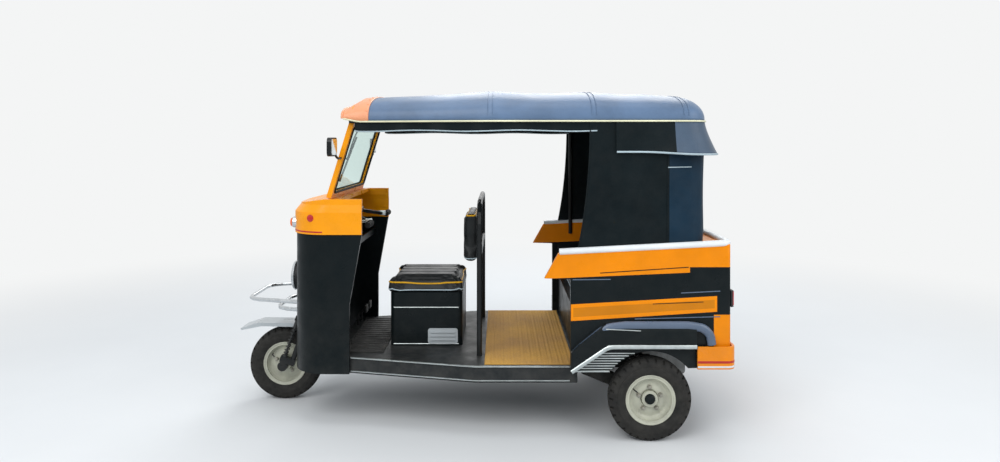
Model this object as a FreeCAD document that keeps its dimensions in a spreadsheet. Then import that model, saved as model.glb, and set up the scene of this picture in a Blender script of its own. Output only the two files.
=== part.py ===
import FreeCAD, Part
import Sketcher
import math
import os
import re

# Auto rickshaw: a three-wheeled, open-sided passenger cab with a vinyl hood.
# Lengths are millimetres and angles degrees. While modelling, x runs forward from
# the rear axle, y to the vehicle's left and z up from the ground. The placement of
# every sub-part then moves it so that the origin is below the middle of the whole.

V = FreeCAD.Vector
UP, LEFT, AHEAD = V(0, 0, 1), V(0, 1, 0), V(1, 0, 0)

# Driving dimensions: alias, value, what it is
SIZES = (
    ("wheelbase", 2000, "front axle ahead of the rear axle"),
    ("front_overhang", 250, "mudguard tip ahead of the front axle"),
    ("rear_overhang", 420, "bumper behind the rear axle"),
    ("track", 1150, "between the rear tyres' middles"),
    ("fit_gap", 0.3, "between pieces that seat on each other"),
    ("move_gap", 6, "round pieces that move"),
    ("tyre_diameter", 415, "over the tread"),
    ("tyre_width", 104, "over the side walls"),
    ("rim_flange", 240, "over the rim's barrel"),
    ("rim_well", 214, "inside of the rim's barrel"),
    ("rim_width", 76, "rim's barrel"),
    ("rim_sheet", 4, "half the wheel's disc"),
    ("tyre_bevel", 12, "tyre's shoulders"),
    ("hub_radius", 40, "wheel hub"),
    ("stub_radius", 15, "rear stub axle"),
    ("axle_radius", 12, "front axle"),
    ("shaft_gap", 0.1, "wheel bore over its axle"),
    ("floor_top", 366, "top of the floor"),
    ("floor_sheet", 20, "floor with its swages"),
    ("floor_rear", 360, "floor meets the seat bulkhead"),
    ("floor_wide", 880, "floor starts to narrow"),
    ("floor_front", "=wheelbase - 340", "floor meets the wheel well"),
    ("floor_half", 575, "half-width at the passenger entry"),
    ("sill_bottom", 280, "lower edge of the side sills"),
    ("sill_wall", 25, "side sill"),
    ("mat_thick", 6, "floor mat"),
    ("mat_margin", 15, "floor mat in from its surroundings"),
    ("cowl_front", "=wheelbase - 110", "foremost point of the cowl"),
    ("cowl_rear", "=wheelbase - 525", "rear edge of the cowl's sides below the band"),
    ("cowl_foot_rear", "=wheelbase - 460", "rear edge of the cowl's sides at the floor"),
    ("cowl_slant", 640, "cowl's rear edge starts to lean back"),
    ("cowl_half", 445, "half-width of the cowl"),
    ("cowl_bulge", 50, "how far the cowl's middle stands ahead of its corners"),
    ("cowl_corner", 190, "plan radius of the cowl's corners"),
    ("cowl_wall", 20, "cowl wall"),
    ("cowl_top", 1010, "cowl meets the coloured band"),
    ("band_proud", 8, "band stands out from the cowl"),
    ("band_shoulder", 1125, "band starts to turn in"),
    ("band_top", 1165, "front lip of the deck"),
    ("deck_top", 1195, "deck below the windscreen"),
    ("deck_rear", "=wheelbase - 400", "rear edge of the deck"),
    ("deck_level", "=wheelbase - 328", "deck stops rising ahead of the windscreen"),
    ("well_x", "=wheelbase - 100", "middle of the front wheel well"),
    ("well_radius", 215, "front wheel well"),
    ("well_top", 530, "top of the wheel well"),
    ("well_wall", 12, "wheel well sheet"),
    ("shelf_below", 157, "dash shelf below the steering column's top"),
    ("shelf_sheet", 12, "dash shelf"),
    ("shelf_rear", "=wheelbase - 440", "dash shelf's lip"),
    ("steer_rake", 20, "steering axis from the vertical"),
    ("steer_ground", "=wheelbase + 30", "steering axis meets the ground"),
    ("column_radius", 20, "steering column"),
    ("column_top", 1130, "along the axis from the ground"),
    ("head_radius", 34, "steering head"),
    ("screen_x", "=wheelbase - 360", "foot of the windscreen"),
    ("screen_rake", 17, "windscreen from the vertical"),
    ("screen_height", 425, "windscreen frame along its slope"),
    ("screen_half", 430, "half-width of the windscreen frame"),
    ("screen_bar", 32, "width of the frame's bars"),
    ("screen_depth", 26, "depth of the frame's bars"),
    ("screen_corner", 22, "corners of the glass"),
    ("header_in", 3, "header ahead of the frame's rear face"),
    ("header_sheet", 6, "header above the windscreen"),
    ("glass_thick", 5, "windscreen glass"),
    ("nose_radius", 900, "plan radius of the cowl's nose"),
    ("band_set_back", 24, "nose of the band's lip behind its foot"),
    ("deck_slot", 4, "cut behind the deck inside the band's sides"),
    ("shelf_lip", 34, "height of the shelf's lip"),
    ("head_length", 150, "steering head"),
    ("head_low", 545, "steering head's foot along the axis"),
    ("crown_along", 506, "top of the fork's crown along the axis"),
    ("crown_depth", 28, "fork crown"),
    ("crown_reach", 28, "fork crown ahead of and behind the axis"),
    ("leg_radius", 15, "fork legs and dampers"),
    ("leg_outer", 96, "outside of the fork legs"),
    ("leg_inner", 66, "inside of the fork legs"),
    ("damper_ahead", 52, "dampers ahead of the legs"),
    ("link_along", 262, "top of the axle links along the axis"),
    ("link_depth", 36, "axle links"),
    ("axle_boss", 28, "boss round the front axle"),
    ("guard_sheet", 4, "mudguard sheet"),
    ("guard_skirt", 16, "mudguard's turned-down sides"),
    ("guard_tail_x", "=wheelbase - 214", "mudguard's rear end"),
    ("guard_tail_z", 300, "mudguard's rear end"),
    ("guard_back_x", "=wheelbase - 172", "mudguard's rear bend"),
    ("guard_back_z", 405, "mudguard's rear bend"),
    ("guard_crown_x", "=wheelbase - 90", "mudguard's top starts"),
    ("guard_top", 446, "mudguard's top"),
    ("guard_flat", 150, "mudguard's top ends ahead of the axle"),
    ("guard_tip_z", 418, "mudguard's tip"),
    ("pod_behind", 60, "handlebar pod behind the axis"),
    ("pod_ahead", 35, "handlebar pod ahead of the axis"),
    ("pod_half", 70, "handlebar pod"),
    ("pod_depth", 70, "handlebar pod"),
    ("bar_rise", 50, "grips above the column's top"),
    ("bar_sweep", 176, "grips behind the axis"),
    ("bar_radius", 11, "handlebar tube"),
    ("bar_bend", 45, "handlebar's bends"),
    ("grip_tip", 352, "outer ends of the grips"),
    ("grip_inner", 240, "handlebar's straight ends start"),
    ("grip_radius", 16, "grips"),
    ("lamp_height", 715, "headlamp's middle"),
    ("lamp_radius", 78, "headlamp bucket"),
    ("lamp_depth", 62, "headlamp ahead of the cowl"),
    ("lamp_root", "=wheelbase - 160", "headlamp starts inside the cowl's front"),
    ("lamp_rim", 8, "headlamp rim's width"),
    ("lamp_rim_depth", 18, "headlamp rim"),
    ("lens_bulge", 8, "headlamp glass ahead of its rim"),
    ("indicator_radius", 30, "front indicators"),
    ("indicator_length", 95, "front indicators with their root"),
    ("indicator_x", "=wheelbase - 210", "front indicators' root"),
    ("indicator_y", 318, "front indicators"),
    ("indicator_z", 1062, "front indicators"),
    ("guard_bar", 11, "front guard's bars"),
    ("guard_bend", 90, "front guard's bends"),
    ("guard_root", "=wheelbase - 200", "front guard's bars start inside the cowl"),
    ("bar_high", 618, "upper guard bar"),
    ("bar_high_x", "=wheelbase + 160", "upper guard bar"),
    ("bar_high_half", 190, "upper guard bar at its front"),
    ("bar_high_root", 285, "upper guard bar at the cowl"),
    ("bar_low", 560, "lower guard bar"),
    ("bar_low_x", "=wheelbase + 10", "lower guard bar"),
    ("bar_low_half", 160, "lower guard bar at its front"),
    ("bar_low_root", 225, "lower guard bar at the cowl"),
    ("mirror_height", 1470, "mirrors' middle"),
    ("mirror_along", 225, "mirror arms' feet up the windscreen frame"),
    ("mirror_y", 565, "mirrors' middle"),
    ("mirror_wide", 130, "mirror heads"),
    ("mirror_tall", 95, "mirror heads"),
    ("mirror_thick", 22, "mirror heads"),
    ("mirror_back", 50, "mirror faces behind the windscreen's foot"),
    ("mirror_corner", 25, "mirror heads"),
    ("mirror_arm", 6, "mirror arms"),
    ("mirror_reach", 70, "first run of the mirror arms"),
    ("mirror_rise", 40, "rise of the mirror arms"),
    ("mirror_end", 38, "mirror arms' ends behind the windscreen's foot"),
    ("mirror_bend", 30, "bend of the mirror arms"),
    ("body_half", 620, "half-width of the rear body"),
    ("side_wall", 25, "rear body walls"),
    ("rear_body", 400, "rear body behind the rear axle"),
    ("quarter_front", 400, "front edge of the rear quarters"),
    ("quarter_foot", 356, "front foot of the rear quarters"),
    ("tail_side_foot", 372, "rear foot of the rear quarters"),
    ("body_corner", 16, "rear corners of the body"),
    ("arm_height", 812, "underside of the side rests"),
    ("arm_front", 460, "front of the side rests at the belt"),
    ("arm_slant", 70, "side rests' front leans out"),
    ("belt_front", 940, "belt line at the side rests' front"),
    ("belt_rear", 985, "belt line at the rear"),
    ("arch_radius", 245, "rear wheel arches"),
    ("flare_out", 30, "fender flares stand out from the body"),
    ("flare_top", 600, "top of the fender flares"),
    ("flare_peak", 222, "top of the flares ends ahead of the axle"),
    ("flare_nose_x", 361, "front edge of the flares"),
    ("flare_nose_z", 490, "front edge of the flares"),
    ("flare_toe", 452, "top of the flares at their front"),
    ("flare_foot", 366, "lip of the flares at their front"),
    ("flare_lip", 492, "lip of the flares over the wheels"),
    ("flare_lip_x", 215, "lip starts to fall ahead of the axle"),
    ("flare_rear", 222, "fender flare behind the axle"),
    ("flare_sheet", 10, "fender flare"),
    ("trim_depth", 9, "bright fender trim"),
    ("trim_wide", 14, "bright fender trim"),
    ("tail_foot", 470, "lower edge of the rear panel"),
    ("curtain_rear", 290, "hood's rear curtain behind the axle"),
    ("curtain_front", 300, "side curtains' front edge at the eaves"),
    ("curtain_foot", 365, "side curtains' front edge at the belt"),
    ("curtain_outer", "=body_half - 9", "half-width over the curtains"),
    ("curtain_inner", 605, "half-width inside the curtains"),
    ("curtain_corner", 90, "plan radius of the hood's rear corners"),
    ("hood_skin", 6, "hood cloth with its lining"),
    ("hatch_half", 335, "engine hatch"),
    ("hatch_low", 500, "engine hatch"),
    ("hatch_high", 845, "engine hatch"),
    ("hatch_sheet", 16, "engine hatch"),
    ("hatch_corner", 30, "engine hatch"),
    ("louvre_half", 210, "louvres of the hatch"),
    ("louvre_low", 556, "lowest louvre"),
    ("louvre_pitch", 36, "between the louvres"),
    ("louvre_slot", 10, "height of a louvre's slot"),
    ("louvre_proud", 9, "louvre hoods stand out"),
    ("hinge_out", 10, "hatch hinge outside the panel"),
    ("hinge_z", 866, "hatch hinge"),
    ("hinge_y", 220, "hatch hinges"),
    ("hinge_radius", 8, "hatch hinge barrels"),
    ("hinge_pin", 4, "hatch hinge pins"),
    ("hinge_barrel", 60, "between the hinge's ears"),
    ("hinge_ear", 10, "hinge ears"),
    ("hinge_play", 0.5, "barrel beside an ear"),
    ("hinge_strap", 40, "hinge strap down the hatch"),
    ("plate_hole", 3.2, "number plate bolt holes"),
    ("plate_spacing", 160, "number plate bolt holes"),
    ("plate_height", 925, "number plate bolt holes"),
    ("tail_lamp_wide", 114, "tail lamps"),
    ("tail_lamp_inset", 6, "tail lamps in from the body's sides"),
    ("tail_lamp_low", 670, "tail lamps"),
    ("tail_lamp_high", 756, "tail lamps"),
    ("lamp_corner", 8, "tail lamps"),
    ("bumper_low", 370, "rear bumper"),
    ("bumper_high", 482, "rear bumper"),
    ("bumper_front", 226, "rear bumper's ends behind the axle"),
    ("bumper_inset", 4, "rear bumper in from the fenders"),
    ("bumper_corner", 45, "plan radius of the bumper's corners"),
    ("bumper_sheet", 12, "rear bumper"),
    ("stay_y", 280, "bumper stays"),
    ("stay_wide", 50, "bumper stays"),
    ("seat_plate", 600, "top of the seat base"),
    ("seat_sheet", 15, "seat base"),
    ("house_y", "=body_half - 130", "wheel house panels"),
    ("house_sheet", 10, "wheel house panels"),
    ("house_low", 430, "wheel house panels"),
    ("cushion_rear", -100, "passenger cushion"),
    ("cushion_front", 352, "passenger cushion"),
    ("cushion_top", 735, "passenger cushion"),
    ("cushion_round", 18, "cushions"),
    ("back_lean", 10, "passenger backrest from the vertical"),
    ("back_thick", 80, "passenger backrest"),
    ("back_settle", 2.9, "rounded foot of the backrest sits down by this"),
    ("back_height", 430, "passenger backrest"),
    ("rail_clear", 40, "backrest inside the hood's posts"),
    ("seat_box_rear", "=wheelbase - 1040", "driver's seat box"),
    ("seat_box_front", "=wheelbase - 640", "driver's seat box"),
    ("seat_box_half", 225, "driver's seat box"),
    ("seat_box_top", 660, "driver's seat box"),
    ("seat_box_corner", 30, "driver's seat box"),
    ("vent_rear", "=wheelbase - 1015", "vent plate"),
    ("vent_front", "=wheelbase - 850", "vent plate"),
    ("vent_low", 378, "vent plate"),
    ("vent_high", 462, "vent plate"),
    ("vent_sheet", 4, "vent plate"),
    ("vent_rib", 6, "vent plate's ribs"),
    ("vent_corner", 14, "vent plate"),
    ("driver_half", 235, "driver's cushions"),
    ("driver_top", 750, "driver's cushion"),
    ("driver_back", 80, "driver's backrest"),
    ("driver_back_low", 830, "driver's backrest"),
    ("driver_back_high", 1130, "driver's backrest"),
    ("hoop_x", "=wheelbase - 1140", "hoop behind the driver"),
    ("hoop_half", 400, "hoop behind the driver"),
    ("hoop_top", 1170, "hoop behind the driver"),
    ("hoop_rail", 900, "cross rail of the hoop"),
    ("hoop_radius", 14, "hoop tube"),
    ("hoop_bend", 110, "bends of the hoop"),
    ("hood_top", 1775, "crown of the hood"),
    ("eave_height", 1600, "hood's eaves"),
    ("hood_front", "=wheelbase - 425", "front lip of the hood"),
    ("hood_front_half", 482, "hood over the windscreen"),
    ("hood_wide_x", 800, "hood reaches its full width"),
    ("hood_half", "=body_half - 2", "hood's full width"),
    ("hood_round", 84, "plan radius of the hood's rear corners"),
    ("hood_fall", 100, "fall of the crown round the hood's rear"),
    ("rear_window_half", 300, "rear window"),
    ("rear_window_low", 1230, "rear window"),
    ("rear_window_high", 1430, "rear window"),
    ("rail_radius", 12, "hood frame tubes"),
    ("rail_end", 80, "hood frame ends ahead of the rear curtain"),
    ("bow_drop", 36, "bows' shoulders below their crown"),
    ("bow_bend", 120, "bends of the bows"),
    ("bow_front", 60, "foremost bow behind the frame's end"),
    ("rail_front", "=wheelbase - 460", "hood frame's front end"),
    ("rail_straight", 110, "first run of the hood's rails"),
    ("rail_bend", 500, "bends of the hood's rails"),
    ("bend_step", 30, "degrees between the short runs of a bend"),
    ("post_front", 280, "hood posts"),
    ("post_rear", 180, "rear hood posts"),
    ("post_foot", 880, "hood posts' feet"),
    ("engine_rear", 290, "engine"),
    ("engine_front", 60, "engine"),
    ("engine_half", 170, "engine"),
    ("engine_low", 190, "engine"),
    ("engine_top", 475, "engine"),
    ("engine_corner", 20, "engine"),
    ("silencer_radius", 50, "silencer"),
    ("silencer_length", 380, "silencer"),
    ("silencer_x", 352, "silencer's middle behind the axle"),
    ("silencer_z", 300, "silencer"),
    ("pipe_radius", 16, "exhaust pipe"),
    ("pipe_y", 120, "exhaust pipe"),
    ("frame_half", 330, "frame rails' middles"),
    ("frame_bar", 50, "frame rails"),
    ("frame_depth", 60, "frame rails"),
    ("frame_rear", -60, "frame rails' rear ends"),
    ("frame_front", "=wheelbase - 400", "frame rails' front ends"),
    ("mount_x", 0, "engine mounts"),
    ("arm_pivot_x", 300, "trailing arms' pivots"),
    ("arm_pivot_z", 316, "trailing arms' pivots"),
    ("arm_inner", 440, "inside of the trailing arms"),
    ("arm_outer", 482, "outside of the trailing arms"),
    ("stub_out", 22, "stub axle outside the wheel's middle"),
    ("shaft_radius", 14, "drive shafts"),
    ("spring_x", 60, "rear springs"),
    ("spring_y", 461, "rear springs"),
    ("spring_radius", 28, "rear springs"),
    ("spring_foot", 270, "rear springs' feet"),
    ("spring_top", 500, "rear springs' tops"),
)

doc = FreeCAD.newDocument("AutoRickshaw")
sheet = doc.addObject("Spreadsheet::Sheet", "Sizes")


def fill_sheet(rows):
    for number, (alias, value, meaning) in enumerate(rows, 1):
        sheet.set("A%d" % number, meaning)
        sheet.set("B%d" % number, str(value))
        sheet.setAlias("B%d" % number, alias)
    doc.recompute()


def size(alias):
    return float(sheet.get(alias))


def refer(text):
    """An expression whose words are aliases of the sheet."""
    return re.sub(r"[a-z]+_[a-z_]+|wheelbase|track", lambda word: "Sizes." + word.group(0), text)


def bind(thing, **expressions):
    for name, text in expressions.items():
        thing.setExpression(name.replace("__", "."), refer(text))


def place(thing, x="0", y="0", z="0"):
    bind(thing, Placement__Base__x=x, Placement__Base__y=y, Placement__Base__z=z)
    return thing


def turn(thing, axis, angle):
    """Turn a piece about an axis through its own origin by a bound angle."""
    thing.Placement.Rotation = FreeCAD.Rotation(axis, 1)
    bind(thing, Placement__Rotation__Angle=angle)
    return thing


def block(x, y, z, name="Block"):
    """Box between pairs of bound coordinates."""
    box = doc.addObject("Part::Box", name)
    bind(box, Length="%s - (%s)" % (x[1], x[0]), Width="%s - (%s)" % (y[1], y[0]),
         Height="%s - (%s)" % (z[1], z[0]))
    return place(box, x[0], y[0], z[0])


def rod(radius, length, x="0", y="0", z="0", along=UP, name="Rod"):
    """Cylinder that starts at a bound point and runs along an axis."""
    cylinder = doc.addObject("Part::Cylinder", name)
    bind(cylinder, Radius=radius, Height=length)
    cylinder.Placement.Rotation = FreeCAD.Rotation(UP, along)
    return place(cylinder, x, y, z)


def fuse(*pieces):
    joined = doc.addObject("Part::MultiFuse", "Joined")
    joined.Shapes = list(pieces)
    return joined


def cut(base, *tools):
    result = doc.addObject("Part::Cut", "Cut")
    result.Base = base
    result.Tool = tools[0] if len(tools) == 1 else fuse(*tools)
    return result


def common(base, tool):
    result = doc.addObject("Part::Common", "Common")
    result.Base = base
    result.Tool = tool
    return result


def made(shape, name="Made"):
    """A form that only Part's own functions make, from sizes read from the sheet."""
    thing = doc.addObject("Part::Feature", name)
    thing.Shape = shape
    return thing


def rounded(piece, radius, chosen, less=0.0):
    """Fillet the edges of a piece that a test picks; less makes the radius smaller."""
    doc.recompute()
    fillet = doc.addObject("Part::Fillet", "Rounded")
    fillet.Base = piece
    picked = [n for n, edge in enumerate(piece.Shape.Edges, 1) if chosen(edge)]
    blend = size(radius) - less
    fillet.Edges = [(n, blend, blend) for n in picked]
    return fillet


def runs_along(direction):
    """Test for straight edges along a direction."""
    def chosen(edge):
        if edge.Curve.TypeId != "Part::GeomLine":
            return False
        return abs(edge.Curve.Direction.dot(direction)) > 0.999
    return chosen


def outline(body, role, corners, offset="0"):
    """Sketch of a closed outline whose corners are bound one by one."""
    plane = next(item for item in body.Origin.OriginFeatures if item.Role == role)
    sketch = body.newObject("Sketcher::SketchObject", "Outline")
    sketch.AttachmentSupport = (plane, [""])
    sketch.MapMode = "FlatFace"
    bind(sketch, AttachmentOffset__Base__z=offset)
    count = len(corners)
    ring = [V(math.cos(2 * math.pi * n / count), math.sin(2 * math.pi * n / count), 0)
            for n in range(count)]
    for n in range(count):
        sketch.addGeometry(Part.LineSegment(ring[n], ring[(n + 1) % count]), False)
    for n in range(count):
        sketch.addConstraint(Sketcher.Constraint("Coincident", n, 2, (n + 1) % count, 1))
    for n, corner in enumerate(corners):
        for kind, start, text in zip(("DistanceX", "DistanceY"), ring[n], corner):
            index = sketch.addConstraint(Sketcher.Constraint(kind, n, 1, start))
            sketch.setExpression("Constraints[%d]" % index, refer(text))
    return sketch


def prism(role, corners, length, offset="0", middle=True, name="Prism"):
    """Body padded from a bound outline, to both sides of its plane or along its normal."""
    body = doc.addObject("PartDesign::Body", name)
    sketch = outline(body, role, corners, offset)
    pad = body.newObject("PartDesign::Pad", "Pad")
    pad.Profile = sketch
    bind(pad, Length=length)
    pad.SideType = "Symmetric" if middle else "One side"
    body.Tip = pad
    return body


def side_prism(corners, width, name="Prism"):
    """Prism of a side view outline, width wide about the middle plane."""
    return prism("XZ_Plane", corners, width, name=name)


def plan_prism(corners, low, high, name="Prism"):
    """Prism of a plan outline between two heights."""
    return prism("XY_Plane", corners, "%s - (%s)" % (high, low), low, False, name)


def turned(corners, axis="H_Axis", name="Turned"):
    """Ring of a half-section whose first coordinate runs along the wheel's axis."""
    body = doc.addObject("PartDesign::Body", name)
    sketch = outline(body, "YZ_Plane", corners)
    ring = body.newObject("PartDesign::Revolution", "Revolution")
    ring.Profile = sketch
    ring.ReferenceAxis = (sketch, [axis])
    ring.Angle = 360
    body.Tip = ring
    return body


def bent(points, radius, closed=False):
    """Wire of straight runs joined by tangent arcs of one radius, or of one for each corner."""
    count = len(points)
    radii = radius if isinstance(radius, (list, tuple)) else [radius] * count
    corners = range(count) if closed else range(1, count - 1)
    ends = {n: (points[n], points[n]) for n in range(count)}
    arcs = {}
    for n in corners:
        if radii[n] <= 0:
            continue
        here, before, after = points[n], points[n - 1], points[(n + 1) % count]
        back, on = (before - here).normalize(), (after - here).normalize()
        half = back.getAngle(on) / 2
        reach = radii[n] / math.tan(half)
        middle = here + (back + on).normalize() * (radii[n] / math.sin(half) - radii[n])
        ends[n] = (here + back * reach, here + on * reach)
        arcs[n] = Part.Arc(ends[n][0], middle, ends[n][1]).toShape()
    edges = []
    for n in range(count if closed else count - 1):
        if n in arcs:
            edges.append(arcs[n])
        start, end = ends[n][1], ends[(n + 1) % count][0]
        if start.distanceToPoint(end) > 1e-6:
            edges.append(Part.LineSegment(start, end).toShape())
    return Part.Wire(edges)


def short_runs(points, radius):
    """Straight runs whose bends are a few chords, which mesh into few facets."""
    radii = radius if isinstance(radius, (list, tuple)) else [radius] * len(points)
    line = [points[0]]
    for n in range(1, len(points) - 1):
        here = points[n]
        if radii[n] <= 0:
            line.append(here)
            continue
        back, on = (points[n - 1] - here).normalize(), (points[n + 1] - here).normalize()
        half = back.getAngle(on) / 2
        reach = radii[n] / math.tan(half)
        centre = here + (back + on).normalize() * (radii[n] / math.sin(half))
        start, end = here + back * reach - centre, here + on * reach - centre
        total = start.getAngle(end)
        steps = max(1, round(math.degrees(total) / size("bend_step")))
        for k in range(steps + 1):
            turned_by = total * k / steps
            line.append(centre + (start * math.sin(total - turned_by)
                                  + end * math.sin(turned_by)) * (1 / math.sin(total)))
    return line + [points[-1]]


def tube(points, radius, bend, name="Tube"):
    """Round bar swept along straight runs and bends."""
    path = made(Part.makePolygon(short_runs(points, bend)), "Path")
    ring = doc.addObject("Part::Circle", "Section")
    bind(ring, Radius=radius)
    ring.Placement = FreeCAD.Placement(points[0], FreeCAD.Rotation(UP, points[1] - points[0]))
    sweep = doc.addObject("Part::Sweep", name)
    sweep.Sections = [ring]
    doc.recompute()
    sweep.Spine = (path, ["Edge%d" % n for n in range(1, len(path.Shape.Edges) + 1)])
    sweep.Solid = True
    sweep.Frenet = False
    sweep.Transition = "Right corner"
    return sweep


def mirrored(piece):
    """The same piece on the right-hand side."""
    other = doc.addObject("Part::Mirroring", "Mirrored")
    other.Source = piece
    other.Normal = LEFT
    return other


def both_sides(piece):
    pair = doc.addObject("Part::Compound", "Pair")
    pair.Links = [piece, mirrored(piece)]
    return pair


NODES = {}


def node(name, piece):
    """Name a sub-part and move it from the rear axle's frame to the frame of the whole."""
    holder = doc.addObject("Part::Compound", "Node")
    holder.Links = [piece]
    holder.Label = name
    place(holder, "(rear_overhang - wheelbase - front_overhang) / 2")
    NODES[name] = holder
    return holder


fill_sheet(SIZES)


def ring_of(side):
    """Closed plan outline from the corners of its left-hand side, rear to front."""
    return [(x, "-(%s)" % y) for x, y in side] + list(reversed(side))


# Frames that lean back: foot x, foot z and lean angle
COLUMN = ("steer_ground", "0", "steer_rake")
SCREEN = ("screen_x", "deck_top + fit_gap", "screen_rake")


def leaning(piece, frame, ahead="0", y="0", along="0"):
    """Turn a piece with a leaning frame and place its origin in that frame."""
    foot_x, foot_z, lean = frame
    if piece.TypeId == "Part::Box" or piece.Placement.Rotation.isIdentity(1e-6):
        turn(piece, LEFT, "-(%s)" % lean)
    place(piece, "%s + (%s) * cos(%s) - (%s) * sin(%s)" % (foot_x, ahead, lean, along, lean), y,
          "%s + (%s) * sin(%s) + (%s) * cos(%s)" % (foot_z, ahead, lean, along, lean))
    return piece


def leaning_block(frame, ahead, y, along):
    box = block(ahead, y, along)
    return leaning(box, frame, ahead[0], y[0], along[0])


def column_point(ahead, y, along):
    lean = math.radians(size("steer_rake"))
    return V(size("steer_ground") + ahead * math.cos(lean) - along * math.sin(lean), y,
             ahead * math.sin(lean) + along * math.cos(lean))


# Floor, frame and cowl

COWL_INNER = "cowl_half - cowl_wall - fit_gap"
FLOOR_SIDE = [("floor_rear", "floor_half"), ("floor_wide", "floor_half"),
              ("cowl_foot_rear", COWL_INNER), ("floor_front", COWL_INNER)]


def make_floor():
    hollow_side = [(x, "%s - sill_wall" % y) for x, y in FLOOR_SIDE]
    hollow_side[0] = ("floor_rear - 1", hollow_side[0][1])
    hollow_side[-1] = ("floor_front + 1", hollow_side[-1][1])
    tray = plan_prism(ring_of(FLOOR_SIDE), "sill_bottom", "floor_top")
    hollow = plan_prism(ring_of(hollow_side), "sill_bottom - 1", "floor_top - floor_sheet")
    return cut(tray, hollow)


def make_mat():
    side = [("floor_rear + mat_margin", "floor_half - mat_margin"),
            ("hoop_x - 2 * mat_margin", "floor_half - mat_margin")]
    return plan_prism(ring_of(side), "floor_top", "floor_top + mat_thick")


def cowl_wire(height, inset, rear, back=0.0, corner_radius="cowl_corner"):
    """Plan outline of the cowl at a height, drawn in by an inset and its nose set back."""
    half, front = size("cowl_half") - inset, size("cowl_front") - inset - back
    corner = front - size("cowl_bulge")
    radius = size(corner_radius) - inset
    side = [V(rear, -half, height), V(corner, -half, height)]
    nose = V(front, 0, height)
    points = side + [nose] + [V(p.x, -p.y, p.z) for p in reversed(side)]
    return bent(points, [0, radius, size("nose_radius") - inset, radius, 0], closed=True)


def cowl_solid(low, high, inset, rear):
    return made(Part.Face(cowl_wire(low, inset, rear)).extrude(UP * (high - low)), "CowlSolid")


def make_cowl():
    low, high, rear = size("sill_bottom"), size("cowl_top"), size("cowl_rear")
    outer = cowl_solid(low, high, 0, rear)
    inner = cowl_solid(low - 1, high + 1, size("cowl_wall"), rear - 1)
    well_block = common(outer, rod("well_radius + well_wall", "well_top + well_wall - sill_bottom",
                                   "well_x", "0", "sill_bottom"))
    well = rod("well_radius", "well_top - sill_bottom + 1", "well_x", "0", "sill_bottom - 1")
    head_hole = leaning(rod("head_radius + fit_gap", "200"), COLUMN, "0", "0", "head_low")
    behind = side_prism([("cowl_rear - 2", "sill_bottom - 2"), ("cowl_foot_rear", "sill_bottom - 2"),
                         ("cowl_foot_rear", "cowl_slant"), ("cowl_rear", "cowl_top"),
                         ("cowl_rear - 2", "cowl_top")], "2 * cowl_half + 20")
    return cut(fuse(cut(outer, inner), well_block), well, head_hole, behind), outer


def band_solid(inset, rear, grow):
    """Band, shoulder and sloping deck, drawn in by an inset; grow lowers the foot."""
    foot, shoulder = size("cowl_top") - grow, size("band_shoulder")
    lip, top = size("band_top") - inset * 0.6, size("deck_top") - inset
    proud, back = size("band_proud"), size("band_set_back")
    band = Part.Face(cowl_wire(foot, inset - proud, rear)).extrude(UP * (shoulder - foot))
    turn_in = Part.makeLoft([cowl_wire(shoulder, inset - proud, rear),
                             cowl_wire(lip, inset, rear, back)], True, True)
    nose, wide = size("cowl_front") - back, size("cowl_half") + 10
    slope = [V(rear - 5, -wide, lip), V(nose, -wide, lip), V(size("deck_level"), -wide, top),
             V(rear - 5, -wide, top)]
    wedge = Part.Face(Part.makePolygon(slope + slope[:1])).extrude(LEFT * 2 * wide)
    deck = Part.Face(cowl_wire(lip, inset, rear, back)).extrude(UP * (top - lip)).common(wedge)
    return made(band.fuse([turn_in, deck]).removeSplitter(), "BandSolid")


def make_band():
    rear = size("cowl_rear")
    outer = band_solid(0, rear, 0)
    inner = band_solid(size("cowl_wall"), rear - 1, 1)
    half = "cowl_half - cowl_wall - deck_slot"
    slot = block(("cowl_rear - 1", "deck_rear"), ("-(%s)" % half, half),
                 ("band_shoulder", "deck_top + 1"))
    return cut(outer, inner, slot), outer


SHELF = "(column_top * cos(steer_rake) - shelf_below)"


def make_shelf():
    low = size("column_top") * math.cos(math.radians(size("steer_rake"))) - size("shelf_below")
    inset = size("cowl_wall") + size("fit_gap")
    tray = cowl_solid(low, low + size("shelf_sheet"), inset, size("shelf_rear"))
    half = "cowl_half - cowl_wall - fit_gap"
    lip = block(("shelf_rear", "shelf_rear + shelf_sheet"), ("-(%s)" % half, half),
                (SHELF, SHELF + " + shelf_lip"))
    hole = leaning(rod("column_radius + move_gap", "300"), COLUMN, "0", "0", SHELF + " - 50")
    return cut(fuse(tray, lip), hole)


def screen_opening(ahead):
    """Block of the glass's outline with rounded corners."""
    half = "(screen_half - screen_bar)"
    piece = leaning_block(SCREEN, ahead, ("-" + half, half),
                          ("screen_bar", "screen_height - screen_bar"))
    lean = math.radians(size("screen_rake"))
    return rounded(piece, "screen_corner", runs_along(V(math.cos(lean), 0, math.sin(lean))))


def make_header():
    """Sheet that closes the hood's front arch above the windscreen."""
    x = "screen_x - screen_height * sin(screen_rake) + header_in"
    foot = "deck_top + screen_height * cos(screen_rake) - header_in"
    plate = block((x, x + " + header_sheet"), ("-hood_front_half", "hood_front_half"),
                  (foot, "hood_top"))
    arch = common(plate, hood_solid(size("hood_skin") + size("fit_gap"), size("hood_top") / 8, 1))
    rails = [block((x + " - 1", x + " + header_sheet + 1"), side,
                   (foot + " - 1", "eave_height + 4 + rail_radius + 2 * fit_gap"))
             for side in (("screen_half", "hood_half"), ("-hood_half", "-screen_half"))]
    return cut(arch, *rails)


def make_screen_frame():
    outer = leaning_block(SCREEN, ("0", "screen_depth"), ("-screen_half", "screen_half"),
                          ("0", "screen_height"))
    return fuse(cut(outer, screen_opening(("-1", "screen_depth + 1"))), make_header())


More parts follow.
